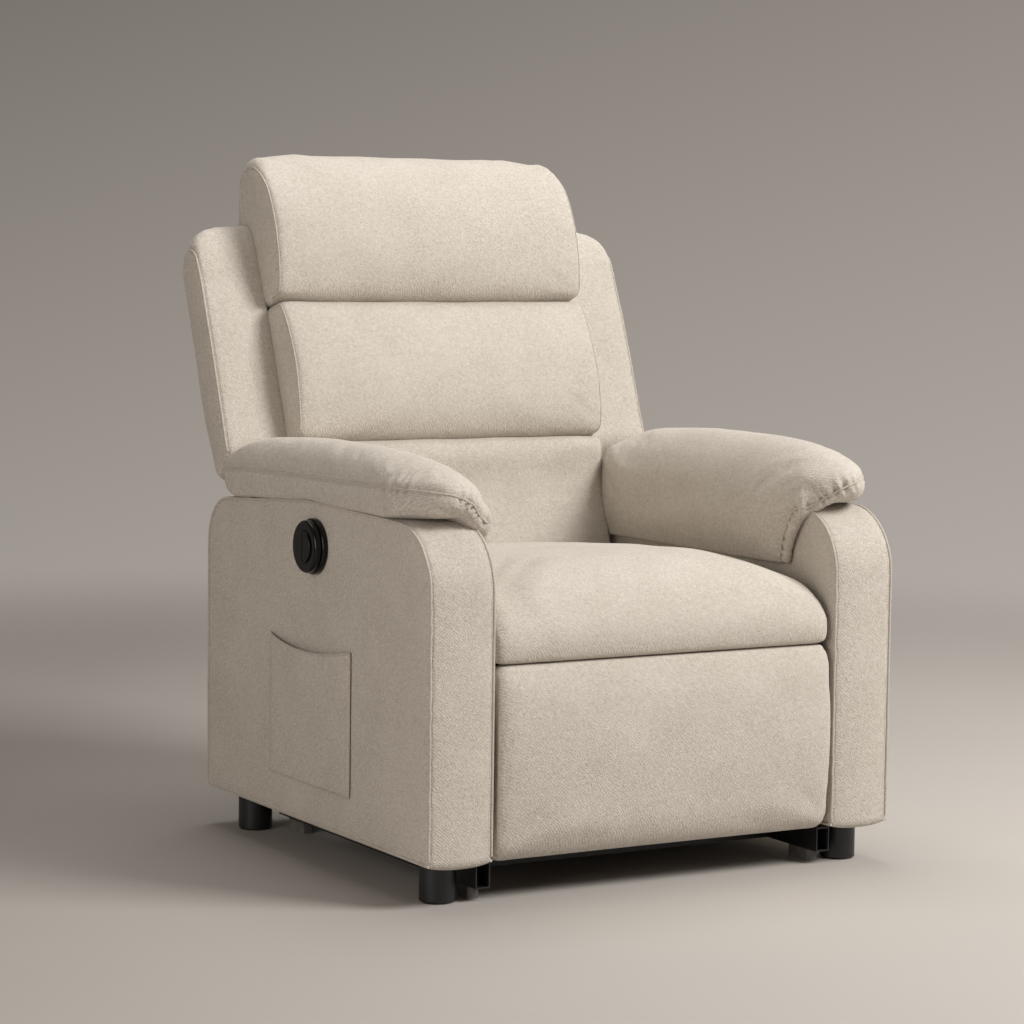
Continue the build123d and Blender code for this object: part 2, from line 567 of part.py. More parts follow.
def wings():
    side = slab(outline(leaned([(170.0, 8.0), (128.0, 50.0), (140.0, 68.0), (236.0, 82.0),
                                (505.0, 84.0), (527.0, 74.0), (545.0, 40.0), (526.0, 22.0),
                                (360.0, 9.0)])), (BACK_HALF + 1.5, WING_OUT))
    frame = Plane(origin=(0, *BACK_FOOT), x_dir=(1, 0, 0),
                  z_dir=(0, -math.cos(RECLINE), math.sin(RECLINE)))
    front = make_face(Polyline((BACK_HALF + 1.5, 100.0), (WING_OUT, 100.0), (WING_OUT, 470.0),
                               (WING_OUT - 6.0, 520.0), (WING_OUT - 30.0, 540.0),
                               (BACK_HALF + 1.5, 552.0), close=True))
    shape = side & Pos(0, 150.0, -56.0) * extrude(frame * front, 400.0)
    for name, piece in zip(("left", "right"), both(shape)):
        save(f"back_wing_{name}", piece)


os.makedirs("parts", exist_ok=True)
base_frame()
lift_drive()
lift_linkage()
seat_mechanism()
footrest_linkage()
footrest_panel()
seat()
arm(1)
arm(-1)
arm_hardware()
pocket()
hand_control()
back_structure()
back_cushions()
wings()
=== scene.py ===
"""Power lift recliner armchair: its upholstery, finishes and studio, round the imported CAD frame."""

import json
import logging
import math
from collections.abc import Callable, Sequence
from dataclasses import dataclass, field
from enum import Enum

import bmesh
import bpy
import numpy as np
from mathutils import Matrix, Vector
from mathutils.bvhtree import BVHTree
from mathutils.kdtree import KDTree


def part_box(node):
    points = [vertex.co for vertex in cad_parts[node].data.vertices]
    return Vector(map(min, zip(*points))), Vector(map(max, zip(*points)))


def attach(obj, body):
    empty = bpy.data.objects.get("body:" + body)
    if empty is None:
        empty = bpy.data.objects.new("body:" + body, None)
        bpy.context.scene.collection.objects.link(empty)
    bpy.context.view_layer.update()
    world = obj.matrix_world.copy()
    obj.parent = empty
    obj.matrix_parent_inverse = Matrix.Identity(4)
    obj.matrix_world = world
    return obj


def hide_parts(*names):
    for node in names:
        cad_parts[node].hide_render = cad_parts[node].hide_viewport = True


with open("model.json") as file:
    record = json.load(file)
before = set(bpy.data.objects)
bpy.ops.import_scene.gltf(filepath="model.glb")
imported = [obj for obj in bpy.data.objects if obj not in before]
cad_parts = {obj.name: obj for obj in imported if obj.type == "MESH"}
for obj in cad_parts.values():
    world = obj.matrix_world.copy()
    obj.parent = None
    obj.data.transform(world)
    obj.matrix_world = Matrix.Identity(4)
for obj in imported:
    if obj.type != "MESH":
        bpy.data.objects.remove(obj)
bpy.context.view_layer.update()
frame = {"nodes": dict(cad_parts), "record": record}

log = logging.getLogger("recliner")

MM = 0.001
EASE_FACTOR, EASE_PASSES = 0.5, 4       # how a new cushion's edges are softened
Points = np.ndarray
Hold = Callable[[Points, Points], np.ndarray]

# The chair's own coordinates are millimetres: x from the middle plane, y back from the front line
# and z up from the floor. The front line lies a little behind the arm boxes' front faces.
ARM_BOX_LEAD = 8.0
FRONT_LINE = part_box("arm_cover_left")[0].y / MM + ARM_BOX_LEAD
SHIFT = np.array([0.0, FRONT_LINE, 0.0])


class Body(Enum):
    """The CAD bodies that upholstery rides on."""

    CHAIR = "chair"
    BACKREST = "backrest"
    FOOTREST = "footrest"


# ---- places ----------------------------------------------------------------------------------
def to_scene(points: Points) -> Points:
    """Chair millimetres to the row frame's metres."""
    return (np.asarray(points, float) + SHIFT) * MM


def to_chair(points: Points) -> Points:
    """The row frame's metres to chair millimetres."""
    return np.asarray(points, float) / MM - SHIFT


def node_box(node: str) -> tuple[Points, Points]:
    """A CAD node's corners in chair millimetres."""
    low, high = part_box(node)
    return to_chair(np.array(low)), to_chair(np.array(high))


@dataclass(frozen=True)
class Lean:
    """The backrest's own axes, along its lean and behind its front line, off its outer panel."""

    degrees: float = 20.5
    panel_middle: tuple[float, float] = (242.5, 81.0)

    @property
    def foot(self) -> tuple[float, float]:
        """The (y, z) point where the back's front line starts."""
        low, high = node_box("back_outer_panel")
        middle = (low + high) / 2
        sin, cos = math.sin(math.radians(self.degrees)), math.cos(math.radians(self.degrees))
        along, behind = self.panel_middle
        return middle[1] - along * sin - behind * cos, middle[2] - along * cos + behind * sin

    def at(self, pairs: Sequence[tuple[float, float]]) -> Points:
        """Side-view (y, z) points for (along, behind) pairs."""
        pairs = np.asarray(pairs, float)
        sin, cos = math.sin(math.radians(self.degrees)), math.cos(math.radians(self.degrees))
        y0, z0 = self.foot
        return np.stack([y0 + pairs[:, 0] * sin + pairs[:, 1] * cos,
                         z0 + pairs[:, 0] * cos - pairs[:, 1] * sin], axis=1)

    def read(self, points: Points) -> tuple[Points, Points]:
        """How far chair points lie along and behind the back's front line."""
        sin, cos = math.sin(math.radians(self.degrees)), math.cos(math.radians(self.degrees))
        y0, z0 = self.foot
        dy, dz = points[:, 1] - y0, points[:, 2] - z0
        return dy * sin + dz * cos, dy * cos - dz * sin

    def moved(self, points: Points, along: Points, behind: Points) -> Points:
        """The points put at new places along and behind.

        Args:
            points: chair points, whose x is kept.
            along: new distances along the lean.
            behind: new distances behind the front line.

        Returns:
            The moved chair points.
        """
        side = self.at(np.stack([along, behind], axis=1))
        return np.column_stack([points[:, 0], side[:, 0], side[:, 1]])


LEAN = Lean()


# ---- lines -----------------------------------------------------------------------------------
def spaced(points: Points, step: float) -> Points:
    """A line's points set evenly, about a step apart.

    Args:
        points: the line's own points.
        step: wanted distance between the new points.

    Returns:
        The new points, with both ends kept.
    """
    points = np.asarray(points, float)
    run = np.concatenate([[0.0], np.cumsum(np.linalg.norm(np.diff(points, axis=0), axis=1))])
    count = max(2, int(round(run[-1] / step)) + 1)
    at = np.linspace(0.0, run[-1], count)
    return np.stack([np.interp(at, run, points[:, i]) for i in range(points.shape[1])], axis=1)


def through(points: Sequence[Sequence[float]], step: float = 6.0) -> Points:
    """A smooth line through the points.

    Args:
        points: the points that it passes, in order.
        step: distance between the line's own points.

    Returns:
        The line's points.
    """
    p = np.asarray(points, float)
    p = np.vstack([2 * p[0] - p[1], p, 2 * p[-1] - p[-2]])
    out = []
    for a, b, c, d in zip(p, p[1:], p[2:], p[3:]):
        t0, t1 = 0.0, np.linalg.norm(b - a) ** 0.5
        t2 = t1 + np.linalg.norm(c - b) ** 0.5
        t3 = t2 + np.linalg.norm(d - c) ** 0.5
        t = np.linspace(t1, t2, 13)[:-1, None]
        a1 = (t1 - t) / (t1 - t0) * a + (t - t0) / (t1 - t0) * b
        a2 = (t2 - t) / (t2 - t1) * b + (t - t1) / (t2 - t1) * c
        a3 = (t3 - t) / (t3 - t2) * c + (t - t2) / (t3 - t2) * d
        b1 = (t2 - t) / (t2 - t0) * a1 + (t - t0) / (t2 - t0) * a2
        b2 = (t3 - t) / (t3 - t1) * a2 + (t - t1) / (t3 - t1) * a3
        out.append((t2 - t) / (t2 - t1) * b1 + (t - t1) / (t2 - t1) * b2)
    out.append(p[-2][None])
    return spaced(np.vstack(out), step)


def arc(centre: tuple[float, float], radius: float, start: float, end: float) -> Points:
    """Points of an arc in side view, from one angle in degrees to another."""
    turn = np.radians(np.linspace(start, end, 13))
    return np.stack([centre[0] + radius * np.cos(turn), centre[1] + radius * np.sin(turn)], axis=1)


def closed(parts: Sequence[Points], step: float = 6.0) -> Points:
    """A closed loop from lines put end to end, turned anticlockwise.

    Args:
        parts: the lines, in order.
        step: distance between the loop's points.

    Returns:
        The loop's points, the first not repeated at the end.
    """
    line = np.vstack([*parts, np.atleast_2d(parts[0])[:1]])
    keep = np.concatenate([[True], np.linalg.norm(np.diff(line, axis=0), axis=1) > 0.05])
    loop = spaced(line[keep], step)[:-1]
    y, z = loop[:, 0], loop[:, 1]
    area = np.sum(y * np.roll(z, -1) - np.roll(y, -1) * z)
    return loop if area > 0 else loop[::-1]


def inset(loop: Points, depth: float) -> Points:
    """A loop drawn in by a depth, or out where the depth is negative."""
    ahead = np.roll(loop, -1, axis=0) - loop
    ahead /= np.linalg.norm(ahead, axis=1)[:, None]
    normal = np.stack([-ahead[:, 1], ahead[:, 0]], axis=1)
    before = np.roll(normal, 1, axis=0)
    share = 1 + np.sum(normal * before, axis=1)
    return loop + depth * (normal + before) / np.maximum(share, 0.35)[:, None]


def drawn_in(line: Points, depth: float) -> Points:
    """An upward-running front line moved back into the cushion behind it."""
    ahead = np.gradient(line, axis=0)
    ahead /= np.linalg.norm(ahead, axis=1)[:, None]
    return line + np.stack([ahead[:, 1], -ahead[:, 0]], axis=1) * depth


def in_plane(line: Points, x: float) -> Points:
    """A side-view line put at a distance from the middle plane."""
    return np.column_stack([np.full(len(line), x), line[:, 0], line[:, 1]])


def ripple(points: Points, length: float, seed: int) -> Points:
    """Soft uneven waves from -1 to 1, the same each time for a seed.

    Args:
        points: chair points.
        length: wavelength in millimetres.
        seed: which waves.

    Returns:
        One value for each point.
    """
    rng = np.random.default_rng(seed)
    total = np.zeros(len(points))
    for _ in range(7):
        way = rng.normal(size=3)
        way /= np.linalg.norm(way)
        total += np.sin(points @ way * 2 * math.pi / (length * rng.uniform(0.7, 1.6))
                        + rng.uniform(0, 2 * math.pi))
    return total / 4.0


# ---- meshes ----------------------------------------------------------------------------------
def new_object(name: str, data: bpy.types.ID) -> bpy.types.Object:
    """An object for the data, linked to the scene."""
    made = bpy.data.objects.new(name, data)
    bpy.context.scene.collection.objects.link(made)
    return made


def mesh_piece(name: str, points: Points, faces: Sequence[Sequence[int]]) -> bpy.types.Object:
    """A mesh object from chair points, its faces turned outwards.

    Args:
        name: the object's name.
        points: chair points.
        faces: rows of point numbers.

    Returns:
        The object.
    """
    mesh = bpy.data.meshes.new(name)
    mesh.from_pydata(to_scene(points).tolist(), [], [list(map(int, f)) for f in faces])
    shell = bmesh.new()
    shell.from_mesh(mesh)
    bmesh.ops.remove_doubles(shell, verts=shell.verts, dist=1e-6)
    bmesh.ops.recalc_face_normals(shell, faces=shell.faces)
    shell.to_mesh(mesh)
    shell.free()
    mesh.shade_smooth()
    return new_object(name, mesh)


def read_points(mesh: bpy.types.Mesh) -> Points:
    """A mesh's points in chair millimetres."""
    flat = np.zeros(len(mesh.vertices) * 3)
    mesh.vertices.foreach_get("co", flat)
    return to_chair(flat.reshape(-1, 3))


def write_points(mesh: bpy.types.Mesh, points: Points) -> None:
    """Set a mesh's points from chair millimetres."""
    mesh.vertices.foreach_set("co", to_scene(points).astype(np.float32).ravel())
    mesh.update()


def read_normals(mesh: bpy.types.Mesh) -> Points:
    """A mesh's point normals."""
    flat = np.zeros(len(mesh.vertices) * 3, np.float32)
    mesh.vertex_normals.foreach_get("vector", flat)
    return flat.reshape(-1, 3).astype(float)


def settle(piece: bpy.types.Object) -> bpy.types.Object:
    """Make a piece's modifiers part of its mesh."""
    depsgraph = bpy.context.evaluated_depsgraph_get()
    solid = bpy.data.meshes.new_from_object(piece.evaluated_get(depsgraph))
    if piece.type == "MESH":
        piece.modifiers.clear()
        piece.data = solid
        return piece
    name = piece.name
    bpy.data.objects.remove(piece)
    return new_object(name, solid)


def remeshed(solid: bpy.types.Object, voxel: float) -> bpy.types.Object:
    """Give a solid an even mesh of small cells, with its sharp edges eased."""
    cells = solid.modifiers.new("cells", "REMESH")
    cells.mode, cells.voxel_size = "VOXEL", voxel * MM
    ease = solid.modifiers.new("ease", "SMOOTH")
    ease.factor, ease.iterations = EASE_FACTOR, EASE_PASSES
    return settle(solid)


def unsettle(piece: bpy.types.Object, height: float, length: float, seed: int) -> None:
    """Give a filled piece slight uneven waves, as stuffing does.

    Args:
        piece: the piece.
        height: how high the waves stand, in millimetres.
        length: their wavelength in millimetres.
        seed: which waves.
    """
    points, normals = read_points(piece.data), read_normals(piece.data)
    points += normals * (height * ripple(points, length, seed))[:, None]
    write_points(piece.data, points)


def ring_faces(rings: int, count: int, first: int = 0) -> list[tuple[int, int, int, int]]:
    """Quads between closed rings of equal count, one after another."""
    faces = []
    for r in range(rings - 1):
        a, b = first + r * count, first + (r + 1) * count
        faces += [(a + i, a + (i + 1) % count, b + (i + 1) % count, b + i) for i in range(count)]
    return faces


def swept(name: str, loop: Points, low: float, high: float, round_low: float,
          round_high: float) -> bpy.types.Object:
    """A solid with one side-view loop and rounded edges at both ends.

    Args:
        name: the object's name.
        loop: the side-view loop.
        low: x of the first end.
        high: x of the other end.
        round_low: edge radius at the first end.
        round_high: edge radius at the other end.

    Returns:
        The closed solid.
    """
    turn = np.radians(np.linspace(0.0, 90.0, 6))
    stations = [(low + round_low * (1 - math.cos(t)), round_low * (1 - math.sin(t)))
                for t in turn]
    middle = np.linspace(low + round_low, high - round_high, 9)[1:-1]
    stations += [(x, 0.0) for x in middle]
    stations += [(high - round_high * (1 - math.cos(t)), round_high * (1 - math.sin(t)))
                 for t in turn[::-1]]
    rings = [in_plane(inset(loop, depth), x) for x, depth in stations]
    count = len(loop)
    faces: list[Sequence[int]] = list(ring_faces(len(rings), count))
    faces.append(list(range(count)))
    faces.append(list(range((len(rings) - 1) * count, len(rings) * count)))
    return mesh_piece(name, np.vstack(rings), faces)


def joined(name: str, pieces: Sequence[bpy.types.Object]) -> bpy.types.Object:
    """One object made of several meshes, which are removed."""
    points, faces, first = [], [], 0
    for piece in pieces:
        points.append(read_points(piece.data))
        faces += [[first + v for v in f.vertices] for f in piece.data.polygons]
        first += len(piece.data.vertices)
        bpy.data.objects.remove(piece)
    return mesh_piece(name, np.vstack(points), faces)


def mirrored(piece: bpy.types.Object, name: str) -> bpy.types.Object:
    """A copy of a piece on the other side of the chair, with its faces turned back outwards."""
    mesh = piece.data.copy()
    points = read_points(mesh)
    points[:, 0] *= -1
    write_points(mesh, points)
    mesh.flip_normals()
    return new_object(name, mesh)


# ---- node helper -----------------------------------------------------------------------------
def add_node(tree: bpy.types.NodeTree, kind: str, settings: dict | None = None,
             inputs: dict | None = None) -> bpy.types.Node:
    """Add a node with its settings, socket values and links.

    Args:
        tree: the tree it goes into.
        kind: the node's type.
        settings: properties by name.
        inputs: socket values by name or number; a socket as value is linked.

    Returns:
        The node.
    """
    node = tree.nodes.new(kind)
    for key, value in (settings or {}).items():
        setattr(node, key, value)
    for key, value in (inputs or {}).items():
        if isinstance(value, bpy.types.NodeSocket):
            tree.links.new(value, node.inputs[key])
        else:
            node.inputs[key].default_value = value
    return node


def linear(code: str) -> tuple[float, float, float, float]:
    """An sRGB hex colour as linear red, green, blue and alpha."""
    levels = [int(code[i:i + 2], 16) / 255 for i in (0, 2, 4)]
    bent = [v / 12.92 if v <= 0.04045 else ((v + 0.055) / 1.055) ** 2.4 for v in levels]
    return bent[0], bent[1], bent[2], 1.0


# ---- finishes --------------------------------------------------------------------------------
@dataclass(frozen=True)
class Finish:
    """A material: its real name, and how its surface reads."""

    name: str
    slot: str

    def build(self) -> bpy.types.Material:
        """Make the material, once for each name."""
        known = bpy.data.materials.get(self.name)
        if known:
            return known
        material = bpy.data.materials.new(self.name)
        material.use_nodes = True
        tree = material.node_tree
        tree.nodes.clear()
        shader = add_node(tree, "ShaderNodeBsdfPrincipled")
        add_node(tree, "ShaderNodeOutputMaterial", inputs={"Surface": shader.outputs[0]})
        place = add_node(tree, "ShaderNodeTexCoord").outputs["Object"]
        self.dress(tree, shader, place)
        return material

    def dress(self, tree: bpy.types.NodeTree, shader: bpy.types.Node,
              place: bpy.types.NodeSocket) -> None:
        """Set the shader's sockets and wire its patterns."""
        raise NotImplementedError


@dataclass(frozen=True)
class Linen(Finish):
    """Heathered polyester linen: a soft broken twill of thick slubby yarn, dry and matt."""

    dark: str = "A3998C"
    base: str = "C2BAAF"
    light: str = "D7D0C7"
    rib_pitch: float = 3.3      # one yarn rib, drawn a little coarse so that it shows
    slub: float = 2.2           # length of a thick spot in the yarn
    relief: float = 0.9         # height of the weave, mm
    strength: float = 0.75
    sheen: float = 0.15

    def dress(self, tree: bpy.types.NodeTree, shader: bpy.types.Node,
              place: bpy.types.NodeSocket) -> None:
        """Weave height from slanting ribs broken by slubs, and heather from the same patterns."""
        # a slanting band pattern repeats each 0.6283 / scale of x + y + z, and a face square to
        # an axis crosses it at 45 degrees
        scale = 0.6283 / (self.rib_pitch * MM * math.sqrt(2))
        ribs = add_node(tree, "ShaderNodeTexWave",
                        {"wave_type": "BANDS", "bands_direction": "DIAGONAL"},
                        {"Vector": place, "Scale": scale, "Distortion": 8.5, "Detail": 2.0,
                         "Detail Scale": 1.3, "Detail Roughness": 0.75})
        slubs = add_node(tree, "ShaderNodeTexNoise", inputs={
            "Vector": place, "Scale": 1 / (self.slub * MM), "Detail": 3.0, "Roughness": 0.65})
        heather = add_node(tree, "ShaderNodeTexNoise", inputs={
            "Vector": place, "Scale": 1 / (5.5 * MM), "Detail": 4.0, "Roughness": 0.7})
        cloudy = add_node(tree, "ShaderNodeTexNoise", inputs={
            "Vector": place, "Scale": 1 / (70 * MM), "Detail": 2.0})
        height = add_node(tree, "ShaderNodeMath", {"operation": "MULTIPLY_ADD"},
                          {0: ribs.outputs["Fac"], 1: 0.38, 2: slubs.outputs["Fac"]})
        bump = add_node(tree, "ShaderNodeBump", inputs={
            "Strength": self.strength, "Distance": self.relief * MM,
            "Height": height.outputs[0]})
        mixed = add_node(tree, "ShaderNodeMath", {"operation": "MULTIPLY_ADD"},
                         {0: heather.outputs["Fac"], 1: 0.8, 2: height.outputs[0]})
        shade = add_node(tree, "ShaderNodeMath", {"operation": "MULTIPLY_ADD"},
                         {0: cloudy.outputs["Fac"], 1: 0.25, 2: mixed.outputs[0]})
        ramp = add_node(tree, "ShaderNodeValToRGB", inputs={"Fac": add_node(
            tree, "ShaderNodeMapRange",
            inputs={"Value": shade.outputs[0], "From Min": 0.75, "From Max": 1.65}).outputs[0]})
        ramp.color_ramp.elements[0].color = linear(self.dark)
        ramp.color_ramp.elements[1].color = linear(self.light)
        middle = ramp.color_ramp.elements.new(0.5)
        middle.color = linear(self.base)
        tree.links.new(ramp.outputs["Color"], shader.inputs["Base Color"])
        tree.links.new(bump.outputs[0], shader.inputs["Normal"])
        shader.inputs["Roughness"].default_value = 0.92
        shader.inputs["IOR"].default_value = 1.45
        shader.inputs["Specular IOR Level"].default_value = 0.25
        shader.inputs["Sheen Weight"].default_value = self.sheen
        shader.inputs["Sheen Roughness"].default_value = 0.5
        shader.inputs["Sheen Tint"].default_value = linear("F5F1EB")


@dataclass(frozen=True)
class Grainy(Finish):
    """A hard finish with a fine uneven surface: mottled colour, grain in the gloss and relief."""

    base: str = "202020"
    worn: str = "2A2A2A"
    metallic: float = 0.0
    rough: tuple[float, float] = (0.3, 0.4)
    grain: float = 1.0          # size of the surface grain, mm
    relief: float = 0.05        # its height, mm
    strength: float = 0.2
    mottle: float = 40.0        # size of the uneven patches, mm
    stretch: tuple[float, float, float] = (1.0, 1.0, 1.0)
    ior: float = 1.5
    coat: float = 0.0

    def dress(self, tree: bpy.types.NodeTree, shader: bpy.types.Node,
              place: bpy.types.NodeSocket) -> None:
        """Grain drives roughness and relief, and broad patches drive the colour."""
        drawn = add_node(tree, "ShaderNodeMapping",
                         inputs={"Vector": place, "Scale": self.stretch})
        grain = add_node(tree, "ShaderNodeTexNoise", inputs={
            "Vector": drawn.outputs[0], "Scale": 1 / (self.grain * MM), "Detail": 4.0})
        patches = add_node(tree, "ShaderNodeTexNoise", inputs={
            "Vector": drawn.outputs[0], "Scale": 1 / (self.mottle * MM), "Detail": 5.0,
            "Roughness": 0.6})
        blend = add_node(tree, "ShaderNodeMapRange", inputs={
            "Value": patches.outputs["Fac"], "From Min": 0.35, "From Max": 0.65})
        colour = add_node(tree, "ShaderNodeMix", {"data_type": "RGBA"},
                          {"Factor": blend.outputs[0], 6: linear(self.base),
                           7: linear(self.worn)})
        rough = add_node(tree, "ShaderNodeMapRange", inputs={
            "Value": grain.outputs["Fac"], "From Min": 0.3, "From Max": 0.7,
            "To Min": self.rough[0], "To Max": self.rough[1]})
        bump = add_node(tree, "ShaderNodeBump", inputs={
            "Strength": self.strength, "Distance": self.relief * MM,
            "Height": grain.outputs["Fac"]})
        tree.links.new(colour.outputs[2], shader.inputs["Base Color"])
        tree.links.new(rough.outputs[0], shader.inputs["Roughness"])
        tree.links.new(bump.outputs[0], shader.inputs["Normal"])
        shader.inputs["Metallic"].default_value = self.metallic
        if not self.metallic:
            shader.inputs["IOR"].default_value = self.ior
        shader.inputs["Coat Weight"].default_value = self.coat


@dataclass(frozen=True)
class Woven(Finish):
    """Flat woven tape: two crossing sets of yarn, one over the other."""

    dark: str = "1B1B1D"
    light: str = "3A3A3E"
    pitch: float = 2.5

    def dress(self, tree: bpy.types.NodeTree, shader: bpy.types.Node,
              place: bpy.types.NodeSocket) -> None:
        """A small checker of yarns, softened by noise."""
        yarns = add_node(tree, "ShaderNodeTexChecker", inputs={
            "Vector": place, "Scale": 1 / (self.pitch * MM), "Color1": linear(self.dark),
            "Color2": linear(self.light)})
        fuzz = add_node(tree, "ShaderNodeTexNoise",
                        inputs={"Vector": place, "Scale": 1 / (0.8 * MM), "Detail": 3.0})
        colour = add_node(tree, "ShaderNodeMix", {"data_type": "RGBA", "blend_type": "MULTIPLY"},
                          {"Factor": 0.4, 6: yarns.outputs["Color"], 7: fuzz.outputs["Color"]})
        bump = add_node(tree, "ShaderNodeBump", inputs={
            "Strength": 0.5, "Distance": 0.3 * MM, "Height": yarns.outputs["Fac"]})
        tree.links.new(colour.outputs[2], shader.inputs["Base Color"])
        tree.links.new(bump.outputs[0], shader.inputs["Normal"])
        shader.inputs["Roughness"].default_value = 0.85


# Woven upholstery cloth: matt, warm off-white, with darker and lighter yarns side by side.
LINEN = Linen("heathered_linen", "linen")
# Sewing thread and covered piping: the same yarn pulled tight, so a finer weave.
PIPING = Linen("linen_piping", "linen", "9E9488", "BBB2A7", "D0C8BE", 1.6, 1.2, 0.3, 0.4)
THREAD = Grainy("bonded_thread", "linen", "B2AA9D", "C6BFB4", rough=(0.55, 0.75), grain=0.5,
                mottle=6.0, strength=0.4)
HARD_FINISHES = (
    # Powder-coated steel: black with a fine orange-peel that breaks up its shine.
    Grainy("black_powder_coat", "black_steel", "141415", "1D1D1F", rough=(0.38, 0.55),
           grain=0.9, relief=0.12, strength=0.35),
    # Zinc-plated steel: bluish grey with cloudy patches.
    Grainy("zinc_plate", "zinc_steel", "A9ACAF", "8E9295", 1.0, (0.28, 0.45), 0.5, 0.03, 0.15,
           12.0),
    # Oiled spring wire: dark, with drawn streaks.
    Grainy("drawn_spring_wire", "spring_steel", "5B5A58", "3F3E3D", 1.0, (0.3, 0.5), 0.6, 0.03,
           0.2, 15.0),
    # Plywood: pale birch with long grain along its length.
    Grainy("birch_plywood", "board", "C9A878", "B28D5C", 0.0, (0.55, 0.75), 1.4, 0.15, 0.35,
           22.0, (1.0, 0.12, 1.0)),
    Woven("polypropylene_webbing", "webbing"),
    # Moulded polypropylene feet: black, satin, with a spark-eroded grain.
    Grainy("moulded_polypropylene", "foot_plastic", "0E0E0F", "161617", 0.0, (0.34, 0.48), 0.7,
           0.06, 0.3),
    # Polished ABS of the hand control: deep gloss black.
    Grainy("polished_abs", "gloss_black", "050506", "080809", 0.0, (0.16, 0.26), 6.0, 0.02, 0.1,
           60.0, ior=1.4),
    # Textured ABS housings of the drive: dark grey, fine grain.
    Grainy("textured_abs", "drive_plastic", "1C1D1F", "25262A", 0.0, (0.45, 0.6), 0.6, 0.1, 0.4),
    # Rubber foot block: grey and dusty.
    Grainy("grey_rubber", "grey_block", "6B6863", "58554F", 0.0, (0.7, 0.85), 1.2, 0.1, 0.4,
           18.0),
)


# ---- repeated parts --------------------------------------------------------------------------
class Recipe:
    """A geometry node tree with named inputs, applied to a curve and turned into a plain mesh."""

    def __init__(self, name: str, sizes: dict[str, float]) -> None:
        """Start the tree with a curve input, its sizes in metres and a material."""
        self.tree = bpy.data.node_groups.new(name, "GeometryNodeTree")
        face = self.tree.interface
        self.sockets = {"Curve": face.new_socket("Curve", in_out="INPUT",
                                                 socket_type="NodeSocketGeometry")}
        for label, value in sizes.items():
            socket = face.new_socket(label, in_out="INPUT", socket_type="NodeSocketFloat")
            socket.default_value = value
            self.sockets[label] = socket
        self.sockets["Material"] = face.new_socket("Material", in_out="INPUT",
                                                   socket_type="NodeSocketMaterial")
        face.new_socket("Mesh", in_out="OUTPUT", socket_type="NodeSocketGeometry")
        self.inputs = add_node(self.tree, "NodeGroupInput").outputs

    def end(self, geometry: bpy.types.NodeSocket) -> None:
        """Finish the tree: smooth, real geometry with its material set."""
        smooth = add_node(self.tree, "GeometryNodeSetShadeSmooth", inputs={"Geometry": geometry})
        real = add_node(self.tree, "GeometryNodeRealizeInstances",
                        inputs={"Geometry": smooth.outputs[0]})
        dressed = add_node(self.tree, "GeometryNodeSetMaterial", inputs={
            "Geometry": real.outputs[0], "Material": self.inputs["Material"]})
        add_node(self.tree, "NodeGroupOutput", inputs={0: dressed.outputs[0]})

    def make(self, name: str, lines: Sequence[Points], finish: Finish,
             sizes: dict[str, float]) -> bpy.types.Object:
        """Run the tree along lines.

        Args:
            name: the new piece's name.
            lines: chair points of each line.
            finish: the piece's finish.
            sizes: tree inputs in metres.

        Returns:
            The piece as a plain mesh.
        """
        curve = bpy.data.curves.new(name, "CURVE")
        curve.dimensions = "3D"
        for line in lines:
            spline = curve.splines.new("POLY")
            spline.points.add(len(line) - 1)
            spline.points.foreach_set(
                "co", np.column_stack([to_scene(line), np.ones(len(line))]).ravel())
        holder = new_object(name, curve)
        run = holder.modifiers.new("recipe", "NODES")
        run.node_group = self.tree
        run[self.sockets["Material"].identifier] = finish.build()
        for label, value in sizes.items():
            run[self.sockets[label].identifier] = value
        return settle(holder)


def piping_recipe() -> Recipe:
    """Covered cord sewn along an edge: a round tube on each line, with its ends closed."""
    recipe = Recipe("piping", {"Radius": 0.002})
    ring = add_node(recipe.tree, "GeometryNodeCurvePrimitiveCircle", {"mode": "RADIUS"},
                    {"Resolution": 10, "Radius": recipe.inputs["Radius"]})
    tube = add_node(recipe.tree, "GeometryNodeCurveToMesh", inputs={
        "Curve": recipe.inputs["Curve"], "Profile Curve": ring.outputs[0], "Fill Caps": True})
    recipe.end(tube.outputs[0])
    return recipe


def stitch_recipe() -> Recipe:
    """A row of stitches: one small plump bead of thread at each pitch along a line."""
    recipe = Recipe("stitches", {"Pitch": 0.005, "Length": 0.0036, "Thickness": 0.0009})
    spots = add_node(recipe.tree, "GeometryNodeCurveToPoints", {"mode": "LENGTH"},
                     {"Curve": recipe.inputs["Curve"], "Length": recipe.inputs["Pitch"]})
    bead = add_node(recipe.tree, "GeometryNodeMeshUVSphere",
                    inputs={"Segments": 7, "Rings": 5, "Radius": 0.5})
    size = add_node(recipe.tree, "ShaderNodeCombineXYZ", inputs={
        "X": recipe.inputs["Thickness"], "Y": recipe.inputs["Thickness"],
        "Z": recipe.inputs["Length"]})
    thread = add_node(recipe.tree, "GeometryNodeTransform",
                      inputs={"Geometry": bead.outputs["Mesh"], "Scale": size.outputs[0]})
    row = add_node(recipe.tree, "GeometryNodeInstanceOnPoints", inputs={
        "Points": spots.outputs["Points"], "Instance": thread.outputs[0],
        "Rotation": spots.outputs["Rotation"]})
    recipe.end(row.outputs[0])
    return recipe


